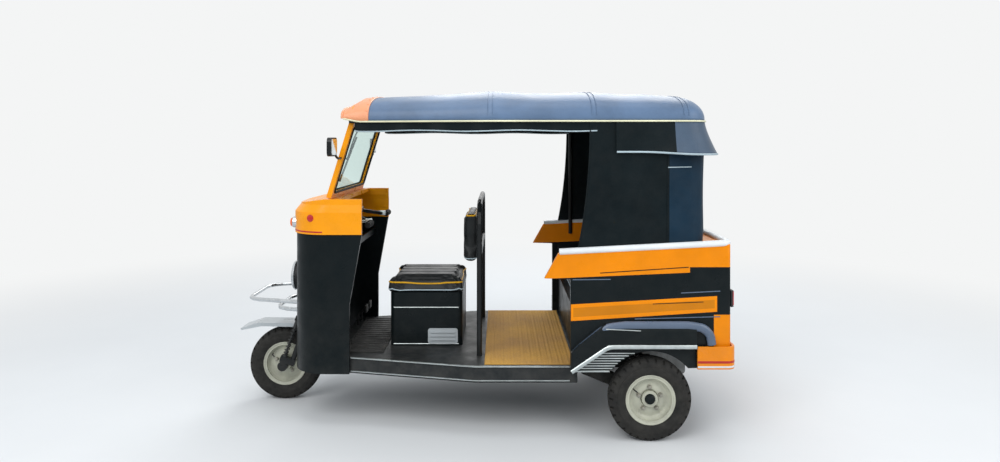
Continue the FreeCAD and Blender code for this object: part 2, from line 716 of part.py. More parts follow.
def make_screen_glass():
    middle = "(screen_depth - glass_thick) / 2"
    return screen_opening((middle, middle + " + glass_thick"))


def make_underframe():
    half, wide = "frame_half", "frame_bar"
    low, high = "floor_top - floor_sheet - fit_gap - frame_depth", "floor_top - floor_sheet - fit_gap"
    parts = []
    for sign in ("", "-"):
        middle = "%s(%s)" % (sign, half)
        side = (middle + " - %s / 2" % wide, middle + " + %s / 2" % wide)
        parts.append(block(("frame_rear", "frame_front"), side, (low, high)))
        parts.append(block(("spring_x - %s / 2" % wide, "spring_x + %s / 2" % wide), side,
                           (high, "seat_plate - seat_sheet - fit_gap")))
        inner = (side[0], "-engine_half - fit_gap") if sign else ("engine_half + fit_gap", side[1])
        parts.append(block(("mount_x - %s / 2" % wide, "mount_x + %s / 2" % wide), inner,
                           (low, high)))
    for middle in ("arm_pivot_x", "floor_wide", "frame_front - %s / 2" % wide):
        reach = "arm_inner - fit_gap" if middle == "arm_pivot_x" else half
        parts.append(block((middle + " - %s / 2" % wide, middle + " + %s / 2" % wide),
                           ("-(%s)" % reach, reach), (low, high)))
    parts.append(block(("spring_x - %s / 2" % wide, "spring_x + %s / 2" % wide),
                       ("-spring_y - spring_radius", "spring_y + spring_radius"),
                       ("spring_top", "seat_plate - seat_sheet - fit_gap")))
    return fuse(*parts)


def make_head():
    outer = leaning(rod("head_radius", "head_length"), COLUMN, "0", "0", "head_low")
    bore = leaning(rod("column_radius + fit_gap", "head_length + 2"), COLUMN, "0", "0", "head_low - 1")
    return cut(outer, bore)


# Steering, all of it turning about the leaning column

def make_fork():
    parts = [leaning(rod("column_radius", "column_top - crown_along"), COLUMN, "0", "0",
                     "crown_along"),
             leaning_block(COLUMN, ("-crown_reach", "crown_reach"), ("-leg_outer", "leg_outer"),
                           ("crown_along - crown_depth", "crown_along"))]
    for sign in ("", "-"):
        leg_y = "%s(leg_outer - leg_radius)" % sign
        side = ("leg_inner", "leg_outer") if sign == "" else ("-leg_outer", "-leg_inner")
        parts.append(leaning_block(COLUMN, ("-crown_reach", "damper_ahead + leg_radius"), side,
                                   ("crown_along - crown_depth", "crown_along")))
        parts.append(leaning(rod("leg_radius", "crown_along - link_along"), COLUMN, "0", leg_y,
                             "link_along"))
        parts.append(leaning_block(COLUMN, ("-leg_radius - 3", "damper_ahead + leg_radius + 3"),
                                   side, ("link_along - link_depth", "link_along")))
        parts.append(rod("axle_boss", "leg_outer - leg_inner", "wheelbase", side[0],
                         "tyre_diameter / 2", LEFT))
    parts.append(rod("axle_radius", "2 * leg_outer", "wheelbase", "-leg_outer",
                     "tyre_diameter / 2", LEFT))
    return fuse(*parts)


def make_dampers():
    length = "crown_along - crown_depth - link_along - 2 * fit_gap"
    spring = leaning(rod("leg_radius", length), COLUMN, "damper_ahead", "leg_outer - leg_radius",
                     "link_along + fit_gap")
    return both_sides(spring)


def make_mudguard():
    top = [("guard_tail_x", "guard_tail_z"), ("guard_back_x", "guard_back_z"),
           ("guard_crown_x", "guard_top"), ("wheelbase + guard_flat", "guard_top + guard_sheet"),
           ("wheelbase + front_overhang", "guard_tip_z")]
    under = [("wheelbase + front_overhang - 2", "guard_tip_z - guard_sheet"),
             ("wheelbase + guard_flat - 1", "guard_top"),
             ("guard_crown_x + 1", "guard_top - guard_sheet"),
             ("guard_back_x + guard_sheet", "guard_back_z - 2"),
             ("guard_tail_x + guard_sheet", "guard_tail_z")]
    sheet_metal = side_prism(top + under, "2 * (leg_inner - fit_gap)")
    deep = "(guard_sheet + guard_skirt)"
    low = [("wheelbase + front_overhang - 6", "guard_tip_z - guard_sheet - 6"),
           ("wheelbase + guard_flat - 20", "guard_top - guard_skirt"),
           ("guard_crown_x + 20", "guard_top - %s" % deep),
           ("guard_back_x + %s" % deep, "guard_back_z - 16"),
           ("guard_tail_x + %s" % deep, "guard_tail_z")]
    skirt = side_prism(top + low, "2 * (leg_inner - fit_gap)")
    core = side_prism(top + low, "2 * (leg_inner - fit_gap - guard_sheet)")
    return fuse(sheet_metal, cut(skirt, core))


def make_handlebar():
    pod = leaning_block(COLUMN, ("-pod_behind", "pod_ahead"), ("-pod_half", "pod_half"),
                        ("column_top", "column_top + pod_depth"))
    high, low = size("column_top") + size("bar_rise"), size("column_top") + size("pod_depth") / 2
    back, tip, inner = -size("bar_sweep"), size("grip_tip"), size("grip_inner")
    half = [(back, tip, high), (back, inner, high), (-15, size("pod_half") + 30, low)]
    points = [column_point(a, -y, s) for a, y, s in half]
    points += [column_point(a, y, s) for a, y, s in reversed(half)]
    bar = tube(points, "bar_radius", size("bar_bend"))
    grips = []
    for sign in (-1, 1):
        start = column_point(back, sign * size("grip_tip"), high)
        grip = rod("grip_radius", "grip_tip - grip_inner - 8", along=LEFT * -sign)
        place(grip, "%.4f" % start.x, "%s grip_tip" % ("-" if sign < 0 else ""), "%.4f" % start.z)
        grips.append(grip)
    return fuse(pod, bar, *grips)


# Front fittings

def make_headlamp(cowl_outer):
    bucket = rod("lamp_radius", "cowl_front - lamp_root + lamp_depth", "lamp_root", "0",
                 "lamp_height", AHEAD)
    rim = rod("lamp_radius + lamp_rim", "lamp_rim_depth", "cowl_front + lamp_depth - lamp_rim_depth",
              "0", "lamp_height", AHEAD)
    glass = rod("lamp_radius - lamp_rim", "lens_bulge + 1", "cowl_front + lamp_depth - 1", "0",
                "lamp_height", AHEAD)
    return fuse(cut(bucket, cowl_outer), rim, glass)


def make_indicators(band_outer):
    lamp = rod("indicator_radius", "indicator_length", "indicator_x", "indicator_y", "indicator_z",
               AHEAD)
    return both_sides(cut(lamp, band_outer))


def make_front_guard(cowl_outer):
    bars = []
    for height, reach, front_half, root_half in (
            ("bar_high", "bar_high_x", "bar_high_half", "bar_high_root"),
            ("bar_low", "bar_low_x", "bar_low_half", "bar_low_root")):
        root = size("guard_root")
        side = [V(root, size(root_half), size(height)), V(size(reach), size(front_half), size(height))]
        points = side + [V(p.x, -p.y, p.z) for p in reversed(side)]
        bars.append(tube(points, "guard_bar", size("guard_bend")))
    return cut(fuse(*bars), cowl_outer)


def make_mirrors():
    lean, along = math.radians(size("screen_rake")), size("mirror_along")
    foot = V(size("screen_x") + size("screen_depth") / 2 - along * math.sin(lean),
             size("screen_half") + size("fit_gap"), size("deck_top") + along * math.cos(lean))
    points = [foot, foot + LEFT * size("mirror_reach"),
              V(size("screen_x") - size("mirror_end"), size("mirror_y"), foot.z + size("mirror_rise"))]
    arm = tube(points, "mirror_arm", size("mirror_bend"))
    head = block(("screen_x - mirror_back", "screen_x - mirror_back + mirror_thick"),
                 ("mirror_y - mirror_wide / 2", "mirror_y + mirror_wide / 2"),
                 ("mirror_height - mirror_tall / 2", "mirror_height + mirror_tall / 2"))
    head = rounded(head, "mirror_corner", runs_along(AHEAD))
    return both_sides(fuse(arm, head))


# Rear body

def belt(x):
    """Height of the belt line at a bound place along the body."""
    return ("(belt_rear + (belt_front - belt_rear) * (%s + rear_body) / (arm_front + rear_body))" % x)


SIDE_OUTLINE = [
    ("quarter_front", "quarter_foot"), ("quarter_front", "arm_height"),
    ("arm_front + arm_slant", "arm_height + 3"), ("arm_front", belt("arm_front")),
    ("-rear_body", belt("-rear_body")), ("-rear_body", "tail_side_foot"),
]
FLARE_HALF = "(body_half + flare_out)"


def flare_outline(inset, below):
    """Side view of a flare, drawn in by an inset and carried below its lip."""
    return [
        ("%s - flare_rear" % inset, "flare_top - %s" % inset),
        ("flare_peak - %s" % inset, "flare_top - %s" % inset),
        ("flare_nose_x - %s" % inset, "flare_nose_z - %s" % inset),
        ("quarter_front - %s" % inset, "flare_toe - %s" % inset),
        ("quarter_front - %s" % inset, "flare_foot - %s" % below),
        ("flare_lip_x", "flare_lip - %s" % below),
        ("%s - flare_rear" % inset, "flare_lip - %s" % below),
    ]


def make_flare():
    """Pressed fender over the wheel arch, hollow behind its lip."""
    form = prism("XZ_Plane", flare_outline("0", "0"), "flare_out + 2", "-" + FLARE_HALF, False)
    section = prism("YZ_Plane", [
        ("body_half - 3", "flare_top + 1"), ("body_half", "flare_top"),
        (FLARE_HALF + " - 10", "flare_top - 12"), (FLARE_HALF, "flare_top - 40"),
        (FLARE_HALF, "flare_foot - 1"), ("body_half - 3", "flare_foot - 1")],
        "quarter_front + flare_rear + 2", "-flare_rear - 1", False)
    pocket = prism("XZ_Plane", flare_outline("flare_sheet", "20"), "flare_out - flare_sheet",
                   "-(%s - flare_sheet)" % FLARE_HALF, False)
    return cut(common(form, section), pocket)


def make_rear_side():
    wall = prism("XZ_Plane", SIDE_OUTLINE, "side_wall", "-body_half", False)
    wall = rounded(wall, "body_corner", lambda edge: runs_along(UP)(edge) and
                   edge.CenterOfMass.x < 1 - size("rear_body") and
                   edge.CenterOfMass.y > size("body_half") - 1)
    arch = rod("arch_radius", "side_wall + flare_out + 20", "0", "body_half - side_wall - 10",
               "tyre_diameter / 2", LEFT)
    return cut(fuse(wall, make_flare()), arch)


def make_fender_trims():
    """Bright strips under the flares' lips."""
    line = [("-flare_rear", "flare_lip"), ("flare_lip_x", "flare_lip"),
            ("quarter_front", "flare_foot")]
    lip = [(x, z + " - fit_gap") for x, z in line]
    lip += [(x, z + " - fit_gap - trim_depth") for x, z in reversed(line)]
    return both_sides(prism("XZ_Plane", lip, "trim_wide", "-" + FLARE_HALF, False))


def make_rear_panel():
    half = "body_half - side_wall - fit_gap"
    across = ("-(%s)" % half, half)
    wall = block(("-rear_body", "side_wall - rear_body"), across, ("tail_foot", "belt_rear"))
    deck = block(("-rear_body", "-curtain_rear"), across, ("belt_rear - side_wall", "belt_rear"))
    opening = block(("-rear_body - 1", "side_wall - rear_body + 1"),
                    ("-hatch_half - move_gap", "hatch_half + move_gap"),
                    ("hatch_low - move_gap", "hatch_high + move_gap"))
    holes = [rod("plate_hole", "side_wall + 2", "-rear_body - 1", "%splate_spacing / 2" % sign,
                 "plate_height", AHEAD) for sign in ("", "-")]
    panel = [cut(fuse(wall, deck), opening, *holes)]
    for sign in ("", "-"):
        middle = "%shinge_y" % sign
        for edge in ("- hinge_barrel / 2 - hinge_ear", "+ hinge_barrel / 2"):
            panel.append(block(("-rear_body - hinge_out - hinge_radius", "-rear_body"),
                               ("%s %s" % (middle, edge), "%s %s + hinge_ear" % (middle, edge)),
                               ("hinge_z - hinge_radius + 1", "hinge_z + hinge_radius")))
        panel.append(rod("hinge_pin", "hinge_barrel + 2 * hinge_ear",
                         "-rear_body - hinge_out",
                         "%s - hinge_barrel / 2 - hinge_ear" % middle, "hinge_z", LEFT))
    return fuse(*panel)


def make_hatch():
    panel = block(("-rear_body", "hatch_sheet - rear_body"), ("-hatch_half", "hatch_half"),
                  ("hatch_low", "hatch_high"))
    panel = rounded(panel, "hatch_corner", runs_along(AHEAD))
    parts, bores = [panel], []
    for row in range(5):
        low = "louvre_low + %d * louvre_pitch" % row
        high = low + " + louvre_slot"
        parts.append(side_prism([
            ("1 - rear_body", high + " + louvre_proud"), ("-rear_body - louvre_proud", low),
            ("-rear_body - louvre_proud + 3", low), ("1 - rear_body", high + " + 3")],
            "2 * (louvre_half + louvre_proud)"))
        bores.append(block(("-rear_body - louvre_proud", "hatch_sheet - rear_body + 1"),
                           ("-louvre_half", "louvre_half"), (low, high)))
    for sign in ("", "-"):
        middle = "%shinge_y" % sign
        side = ("%s - hinge_barrel / 2 + hinge_play" % middle,
                "%s + hinge_barrel / 2 - hinge_play" % middle)
        barrel = "hinge_barrel - 2 * hinge_play"
        parts.append(rod("hinge_radius", barrel, "-rear_body - hinge_out", side[0], "hinge_z", LEFT))
        parts.append(block(("-rear_body - hinge_out - 2", "-rear_body - hinge_out + 2"), side,
                           ("hatch_high - hinge_strap", "hinge_z")))
        parts.append(block(("-rear_body - hinge_out - 2", "-rear_body"), side,
                           ("hatch_high - hinge_strap", "hatch_high - hinge_strap + 14")))
        bores.append(rod("hinge_pin + shaft_gap", barrel + " + 2", "-rear_body - hinge_out",
                         "%s - 1" % side[0], "hinge_z", LEFT))
    return cut(fuse(*parts), *bores)


def make_tail_lamps():
    lamp = block(("-rear_overhang", "-rear_body - fit_gap"),
                 ("body_half - tail_lamp_inset - tail_lamp_wide", "body_half - tail_lamp_inset"),
                 ("tail_lamp_low", "tail_lamp_high"))
    return both_sides(rounded(lamp, "lamp_corner", lambda edge: abs(
        edge.CenterOfMass.x + size("rear_overhang")) < 0.01))


def make_rear_bumper():
    reach = FLARE_HALF + " - bumper_inset"
    outer = block(("-rear_overhang", "-bumper_front"), ("-(%s)" % reach, reach),
                  ("bumper_low", "bumper_high"))
    outer = rounded(outer, "bumper_corner", lambda edge: runs_along(UP)(edge) and
                    edge.CenterOfMass.x < -size("rear_overhang") + 1)
    wall = "bumper_sheet"
    inner = block(("%s - rear_overhang" % wall, "1 - bumper_front"),
                  ("%s - (%s)" % (wall, reach), "%s - %s" % (reach, wall)),
                  ("bumper_low - 1", "bumper_high + 1"))
    inner = rounded(inner, "bumper_corner", lambda edge: runs_along(UP)(edge) and
                    edge.CenterOfMass.x < size(wall) - size("rear_overhang") + 1, size(wall))
    stays = [block(("bumper_sheet - rear_overhang - 1", "-rear_body - fit_gap"),
                   ("%sstay_y - stay_wide / 2" % sign, "%sstay_y + stay_wide / 2" % sign),
                   ("tail_foot + 2", "bumper_high")) for sign in ("", "-")]
    return fuse(cut(outer, inner), *stays)


def make_seat_base():
    half = "body_half - side_wall - fit_gap"
    across = ("-(%s)" % half, half)
    rear = "side_wall - rear_body + fit_gap"
    parts = [block(("floor_rear - seat_sheet", "floor_rear"), across, ("floor_top - floor_sheet",
                                                                     "seat_plate")),
             block((rear, "floor_rear"), across, ("seat_plate - seat_sheet", "seat_plate"))]
    for low, high in (("house_y", "house_y + house_sheet"), ("-house_y - house_sheet", "-house_y")):
        parts.append(block((rear, "floor_rear"), (low, high), ("house_low", "seat_plate")))
    return fuse(*parts)


def soft_block(x, y, z, radius):
    """Cushion with its front and rear edges rounded."""
    return rounded(block(x, y, z), radius, runs_along(LEFT))


def make_passenger_cushion():
    half = "body_half - side_wall - 2 * fit_gap - 6"
    return soft_block(("cushion_rear", "cushion_front"), ("-(%s)" % half, half),
                      ("seat_plate + fit_gap", "cushion_top"), "cushion_round")


BACKREST = ("cushion_rear - 4 * fit_gap", "seat_plate + fit_gap", "back_lean")


def make_passenger_backrest():
    half = "curtain_inner - rail_clear"
    box = leaning_block(BACKREST, ("-back_thick", "0"), ("-(%s)" % half, half),
                        ("back_thick * tan(back_lean) - back_settle", "back_height"))
    return rounded(box, "cushion_round", runs_along(LEFT))


def make_seat_box():
    return rounded(block(("seat_box_rear", "seat_box_front"), ("-seat_box_half", "seat_box_half"),
                         ("floor_top", "seat_box_top")), "seat_box_corner", runs_along(UP))


def make_vent():
    side = "seat_box_half + fit_gap"
    plate = block(("vent_rear", "vent_front"), (side, side + " + vent_sheet"),
                  ("vent_low", "vent_high"))
    plate = rounded(plate, "vent_corner", runs_along(LEFT))
    ribs = [block(("vent_rear + 14", "vent_front - 14"), (side + " + vent_sheet - 1",
                                                          side + " + vent_sheet + vent_rib"),
                  ("vent_low + %d * (vent_high - vent_low) / 8 - vent_rib / 2" % row,
                   "vent_low + %d * (vent_high - vent_low) / 8 + vent_rib / 2" % row))
            for row in (2, 4, 6)]
    return fuse(plate, *ribs)


def make_driver_cushion():
    return soft_block(("seat_box_rear - 20", "seat_box_front + 30"),
                      ("-driver_half", "driver_half"), ("seat_box_top + fit_gap", "driver_top"),
                      "cushion_round")


def make_driver_backrest():
    return soft_block(("hoop_x + hoop_radius + fit_gap", "hoop_x + hoop_radius + driver_back"),
                      ("-driver_half", "driver_half"), ("driver_back_low", "driver_back_high"),
                      "cushion_round")


def make_hoop():
    half, top, low = size("hoop_half"), size("hoop_top"), size("floor_top")
    x = size("hoop_x")
    outer = tube([V(x, -half, low), V(x, -half, top), V(x, half, top), V(x, half, low)],
                 "hoop_radius", size("hoop_bend"))
    rail = rod("hoop_radius", "2 * hoop_half", "hoop_x", "-hoop_half", "hoop_rail", LEFT)
    return fuse(outer, rail)


# Hood and its frame

def hood_rows():
    """Stations of the hood: place, half-width, eave height, crown height."""
    top, eave, half = size("hood_top"), size("eave_height"), size("hood_half")
    rear = -size("curtain_rear") - size("hood_skin")
    rows = [
        (size("hood_front"), size("hood_front_half") - 12, eave + 18, top - 95),
        (size("hood_front") - 90, size("hood_front_half"), eave, top - 34),
        (size("hood_wide_x"), half - 8, eave, top),
        (0.0, half, eave, top - 6),
    ]
    for angle in (0, 30, 60, 90):
        turned_by = math.radians(angle)
        rows.append((rear + size("hood_round") * (1 - math.sin(turned_by)),
                     half - size("hood_round") * (1 - math.cos(turned_by)), eave,
                     top - 28 - size("hood_fall") * (1 - math.cos(turned_by))))
    return rows


def hood_wire(x, half, eave, crown, inset, drop):
    """Arch across the hood: sides, shoulders of three flats and a curved crown."""
    half, crown = half - inset, crown - inset
    rise = crown - eave
    foot, side = V(x, -half, eave - drop), V(x, -half, eave + 0.32 * rise)
    middle, top = V(x, -half * 0.955, eave + 0.62 * rise), V(x, -half * 0.82, crown - 0.18 * rise)
    bend = Part.Arc(side, middle, top).toShape()
    first, last = bend.ParameterRange
    left = [foot, side] + [bend.valueAt(first + (last - first) * k / 3) for k in (1, 2)] + [top]
    right = [V(x, -p.y, p.z) for p in reversed(left)]
    edges = [Part.LineSegment(p, q).toShape() for p, q in zip(left, left[1:])]
    edges.append(Part.Arc(top, V(x, 0, crown), right[0]).toShape())
    edges += [Part.LineSegment(p, q).toShape() for p, q in zip(right, right[1:] + left[:1])]
    return Part.Wire(edges)


def hood_solid(inset, drop, stretch):
    """Loft through the stations; stretch moves the end stations outward."""
    rows = [list(row) for row in hood_rows()]
    rows[0][0] += stretch
    rows[-1][0] += inset
    wires = [hood_wire(x, half, eave, crown, inset, drop) for x, half, eave, crown in rows]
    return made(Part.makeLoft(wires, True, True), "HoodSolid")


def make_hood():
    outer = hood_solid(0, 0, 0)
    inner = hood_solid(size("hood_skin"), 2, 1)
    return cut(outer, inner)


def curtain_ring(outer_half, rear, low, high, front):
    side = [V(front, -outer_half, low), V(rear, -outer_half, low)]
    points = side + [V(p.x, -p.y, p.z) for p in reversed(side)]
    corner = size("curtain_corner") - (size("curtain_outer") - outer_half)
    wire = bent(points, [0, corner, corner, 0], closed=True)
    return made(Part.Face(wire).extrude(UP * (high - low)), "CurtainSolid")


def make_curtains():
    low, high = size("belt_front") - 40, size("hood_top")
    outer_half, skin = size("curtain_outer"), size("hood_skin")
    rear, front = -size("curtain_rear"), size("curtain_foot")
    outer = curtain_ring(outer_half, rear, low, high, front)
    inner = curtain_ring(outer_half - skin, rear + skin, low - 1, high + 1, front + 1)
    below = side_prism([("-rear_body", "belt_front - 60"), ("-rear_body", "belt_rear + fit_gap"),
                        ("0.1 - curtain_rear", "belt_rear + fit_gap"),
                        ("curtain_foot + 20", belt("(curtain_foot + 20)") + " + fit_gap + 4"),
                        ("curtain_foot + 20", "belt_front - 60")], "2 * " + FLARE_HALF)
    ahead = side_prism([("curtain_front", "eave_height"), ("curtain_foot", "belt_front"),
                        ("curtain_foot + 2", "belt_front"), ("curtain_foot + 2", "hood_top + 2"),
                        ("curtain_front", "hood_top + 2")], "2 * " + FLARE_HALF)
    window = block(("-curtain_rear - 1", "30 - curtain_rear"), ("-rear_window_half", "rear_window_half"),
                   ("rear_window_low", "rear_window_high"))
    under_hood = hood_solid(skin + size("fit_gap"), size("hood_top") / 2, 1)
    return common(cut(outer, inner, below, ahead, window), under_hood)


def make_rear_window():
    return block(("-curtain_rear", "hood_skin - curtain_rear"),
                 ("-rear_window_half", "rear_window_half"), ("rear_window_low", "rear_window_high"))


POST_Y = "body_half - side_wall - rail_radius - fit_gap"


def crown_at(x):
    """Height of the hood's crown between its stations."""
    rows = hood_rows()
    for (x1, _, _, crown1), (x2, _, _, crown2) in zip(rows, rows[1:]):
        if x2 <= x <= x1:
            return crown1 + (crown2 - crown1) * (x1 - x) / (x1 - x2)
    return rows[-1][3]


def make_roof_frame():
    height, radius = size("eave_height") + 4, "rail_radius"
    rear_y = size("body_half") - size("side_wall") - size("rail_radius") - size("fit_gap")
    front_y = size("screen_half") + size("rail_radius") + size("fit_gap")
    front_x = size("rail_front")
    parts = []
    for sign in (-1, 1):
        points = [V(front_x, sign * front_y, height), V(front_x - size("rail_straight"), sign * front_y, height),
                  V(size("hood_wide_x"), sign * rear_y, height),
                  V(size("rail_end") - size("curtain_rear"), sign * rear_y, height)]
        parts.append(tube(points, radius, size("rail_bend")))
        for place_x in (size("post_front"), -size("post_rear")):
            post = rod(radius, "eave_height + 4 - post_foot", "%.3f" % place_x,
                       "%s(%s)" % ("-" if sign < 0 else "", POST_Y), "post_foot")
            parts.append(post)
    for x, half in ((front_x - size("bow_front"), front_y), (size("hood_wide_x"), rear_y),
                    (size("post_front"), rear_y), (-size("post_rear"), rear_y)):
        crown = crown_at(x) - size("hood_skin") - size("rail_radius") - 2 * size("fit_gap")
        points = [V(x, -half, height), V(x, -half * 0.72, crown - size("bow_drop")),
                  V(x, 0, crown), V(x, half * 0.72, crown - size("bow_drop")),
                  V(x, half, height)]
        parts.append(tube(points, radius, [0, size("bow_bend"), 0, size("bow_bend"), 0]))
    return fuse(*parts)


# Engine and rear running gear

def make_engine():
    crankcase = block(("-engine_rear", "engine_front"), ("-engine_half", "engine_half"),
                      ("engine_low", "engine_top"))
    return rounded(crankcase, "engine_corner", runs_along(LEFT))


def make_silencer():
    can = rod("silencer_radius", "silencer_length", "-silencer_x", "-silencer_length / 2",
              "silencer_z", LEFT)
    pipe = rod("pipe_radius", "silencer_x - engine_rear", "-silencer_x", "pipe_y", "silencer_z",
               AHEAD)
    return fuse(can, pipe)


def make_rear_arms():
    hub = "tyre_diameter / 2"
    beam = prism("XZ_Plane", [
        ("arm_pivot_x + 28", "arm_pivot_z - 20"), ("arm_pivot_x + 28", "arm_pivot_z + 28"),
        ("arm_pivot_x - 20", "arm_pivot_z + 28"), ("40", hub + " + 34"), ("-30", hub + " + 34"),
        ("-38", hub), ("-30", hub + " - 34"), ("30", hub + " - 34")],
        "arm_outer - arm_inner", "-arm_outer", False)
    stub = rod("stub_radius", "track / 2 + stub_out - arm_outer + 1", "0", "arm_outer - 1", hub, LEFT)
    seat = block(("spring_x - spring_radius", "spring_x + spring_radius"),
                 ("arm_inner", "arm_outer"), (hub + " + 20", "spring_foot"))
    shaft = rod("shaft_radius", "arm_inner - engine_half - 2 * fit_gap", "0",
                "engine_half + fit_gap", hub, LEFT)
    return both_sides(fuse(beam, stub, seat)), both_sides(shaft)


def make_rear_springs():
    spring = rod("spring_radius", "spring_top - spring_foot - 2 * fit_gap", "spring_x", "spring_y",
                 "spring_foot + fit_gap")
    return both_sides(spring)


# Wheels, turned about their axles; the first coordinate is the distance outward

def make_rim(bore, hub_in, hub_out):
    """Barrel, disc and hub, with the brake drum filling the inner side."""
    flange, well, half = "rim_flange / 2", "rim_well / 2", "rim_width / 2"
    return turned([
        ("-(%s)" % hub_in, bore), (hub_out, bore), (hub_out, "hub_radius"),
        ("rim_sheet", "hub_radius"), ("rim_sheet", well), (half, well), (half, flange),
        ("-" + half, flange), ("-" + half, "hub_radius"), ("-(%s)" % hub_in, "hub_radius")])


def make_tyre():
    seat, tread = "rim_flange / 2 + fit_gap", "tyre_diameter / 2"
    wide = "tyre_width / 2"
    side = [(wide, seat), (wide, tread + " - 1.5 * tyre_bevel"), (wide + " - tyre_bevel", tread)]
    return turned(side + [("-(%s)" % u, r) for u, r in reversed(side)])


def make_wheels():
    axle = "tyre_diameter / 2"
    front_bore, rear_bore = "axle_radius + shaft_gap", "stub_radius + shaft_gap"
    hub_reach = "leg_inner - 2 * fit_gap"
    node("front_rim", place(make_rim(front_bore, hub_reach, hub_reach), "wheelbase", "0", axle))
    node("front_tyre", place(make_tyre(), "wheelbase", "0", axle))
    inner_hub = "track / 2 - arm_outer - 2 * fit_gap"
    rim = place(make_rim(rear_bore, inner_hub, "stub_out + 4"), "0", "track / 2", axle)
    tyre = place(make_tyre(), "0", "track / 2", axle)
    node("rear_left_rim", rim)
    node("rear_left_tyre", tyre)
    node("rear_right_rim", mirrored(rim))
    node("rear_right_tyre", mirrored(tyre))


def make_all():
    cowl, cowl_outer = make_cowl()
    band, band_outer = make_band()
    side = make_rear_side()
    arms, shafts = make_rear_arms()
    pieces = (
        ("floor_pan", make_floor()), ("floor_mat", make_mat()), ("underframe", make_underframe()),
        ("front_cowl", cowl), ("cowl_band", band), ("dash_shelf", make_shelf()),
        ("steering_head", make_head()), ("windscreen_frame", make_screen_frame()),
        ("windscreen_glass", make_screen_glass()), ("roof_frame", make_roof_frame()),
        ("hood_roof", make_hood()), ("hood_curtains", make_curtains()),
        ("rear_window", make_rear_window()), ("rear_side_left", side),
        ("rear_side_right", mirrored(side)), ("fender_trims", make_fender_trims()),
        ("rear_panel", make_rear_panel()), ("engine_hatch", make_hatch()),
        ("tail_lamps", make_tail_lamps()), ("rear_bumper", make_rear_bumper()),
        ("seat_base", make_seat_base()), ("passenger_cushion", make_passenger_cushion()),
        ("passenger_backrest", make_passenger_backrest()), ("driver_seat_box", make_seat_box()),
        ("seat_box_vent", make_vent()), ("driver_cushion", make_driver_cushion()),
        ("driver_backrest", make_driver_backrest()), ("driver_hoop", make_hoop()),
        ("headlamp", make_headlamp(cowl_outer)), ("front_indicators", make_indicators(band_outer)),
        ("front_guard", make_front_guard(cowl_outer)), ("mirrors", make_mirrors()),
        ("engine_block", make_engine()), ("silencer", make_silencer()), ("rear_arms", arms),
        ("drive_shafts", shafts), ("rear_springs", make_rear_springs()),
        ("steering_fork", make_fork()), ("front_dampers", make_dampers()),
        ("front_mudguard", make_mudguard()), ("handlebar", make_handlebar()),
    )
    for name, piece in pieces:
        node(name, piece)
    make_wheels()


def check_and_write():
    doc.recompute()
    failed = [thing.Label for thing in doc.Objects if {"Invalid", "Error"} & set(thing.State)]
    if failed:
        raise RuntimeError("failed to build: %s" % ", ".join(failed))
    for name, holder in NODES.items():
        shape = holder.Shape
        if shape.isNull() or not shape.isValid() or not shape.Solids:
            raise RuntimeError("no sound solid for %s" % name)
    os.makedirs("parts", exist_ok=True)
    for name, holder in NODES.items():
        holder.Shape.exportStep(os.path.join("parts", name + ".step"))
        print("%-20s %2d solids %9.1f cm3" % (name, len(holder.Shape.Solids),
                                              holder.Shape.Volume / 1000))


make_all()
check_and_write()
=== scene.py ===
import math

import bmesh
import bpy
from mathutils import Matrix, Vector, noise
from mathutils.bvhtree import BVHTree


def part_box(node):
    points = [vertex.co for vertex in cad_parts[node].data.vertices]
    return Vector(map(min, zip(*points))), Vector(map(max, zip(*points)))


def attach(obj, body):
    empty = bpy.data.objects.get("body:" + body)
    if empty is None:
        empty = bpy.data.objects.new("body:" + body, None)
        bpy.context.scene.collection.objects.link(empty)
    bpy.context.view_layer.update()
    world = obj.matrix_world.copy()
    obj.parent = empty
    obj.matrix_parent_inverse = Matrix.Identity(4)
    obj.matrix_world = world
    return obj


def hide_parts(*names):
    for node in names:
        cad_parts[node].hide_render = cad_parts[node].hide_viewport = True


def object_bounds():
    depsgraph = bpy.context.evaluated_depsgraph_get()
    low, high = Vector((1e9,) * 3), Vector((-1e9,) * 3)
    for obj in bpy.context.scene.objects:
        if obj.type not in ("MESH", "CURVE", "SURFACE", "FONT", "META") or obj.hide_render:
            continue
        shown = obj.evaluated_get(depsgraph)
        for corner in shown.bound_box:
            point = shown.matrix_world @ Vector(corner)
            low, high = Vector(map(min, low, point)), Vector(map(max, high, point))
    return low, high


bl_info = {
    "name": "Auto rickshaw",
    "version": (1, 0, 0),
    "blender": (4, 5, 0),
    "location": "View3D > Sidebar > Rickshaw",
    "description": "Finishes, soft goods and fittings of a three-wheeled auto rickshaw",
    "category": "Object",
}

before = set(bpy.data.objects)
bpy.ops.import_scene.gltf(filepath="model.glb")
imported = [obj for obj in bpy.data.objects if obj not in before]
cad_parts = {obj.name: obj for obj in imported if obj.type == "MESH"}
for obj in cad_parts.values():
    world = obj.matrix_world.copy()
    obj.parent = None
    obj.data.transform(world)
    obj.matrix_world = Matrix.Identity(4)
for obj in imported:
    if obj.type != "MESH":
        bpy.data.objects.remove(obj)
CAD_BOX = [list(corner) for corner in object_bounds()]

# The photograph, in its pixels: width, rise of the horizon above the middle, focal length
PHOTO_WIDTH = 1000
HORIZON_RISE = 90
FOCAL_PIXELS = 695


# Places taken from the frame, in metres

def lowest(node):
    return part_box(node)[0]


def highest(node):
    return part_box(node)[1]


def middle(node):
    return (lowest(node) + highest(node)) / 2


REAR_AXLE = middle("rear_left_tyre")
FRONT_AXLE = middle("front_tyre")
LEFT = Vector((0, 1, 0))
AHEAD = Vector((1, 0, 0))
UP = Vector((0, 0, 1))


def fore(distance):
    """Place along the vehicle, measured ahead of the rear axle."""
    return REAR_AXLE.x + distance


def spot(x, y, z):
    """Point whose place along the vehicle is measured ahead of the rear axle."""
    return Vector((fore(x), y, z))


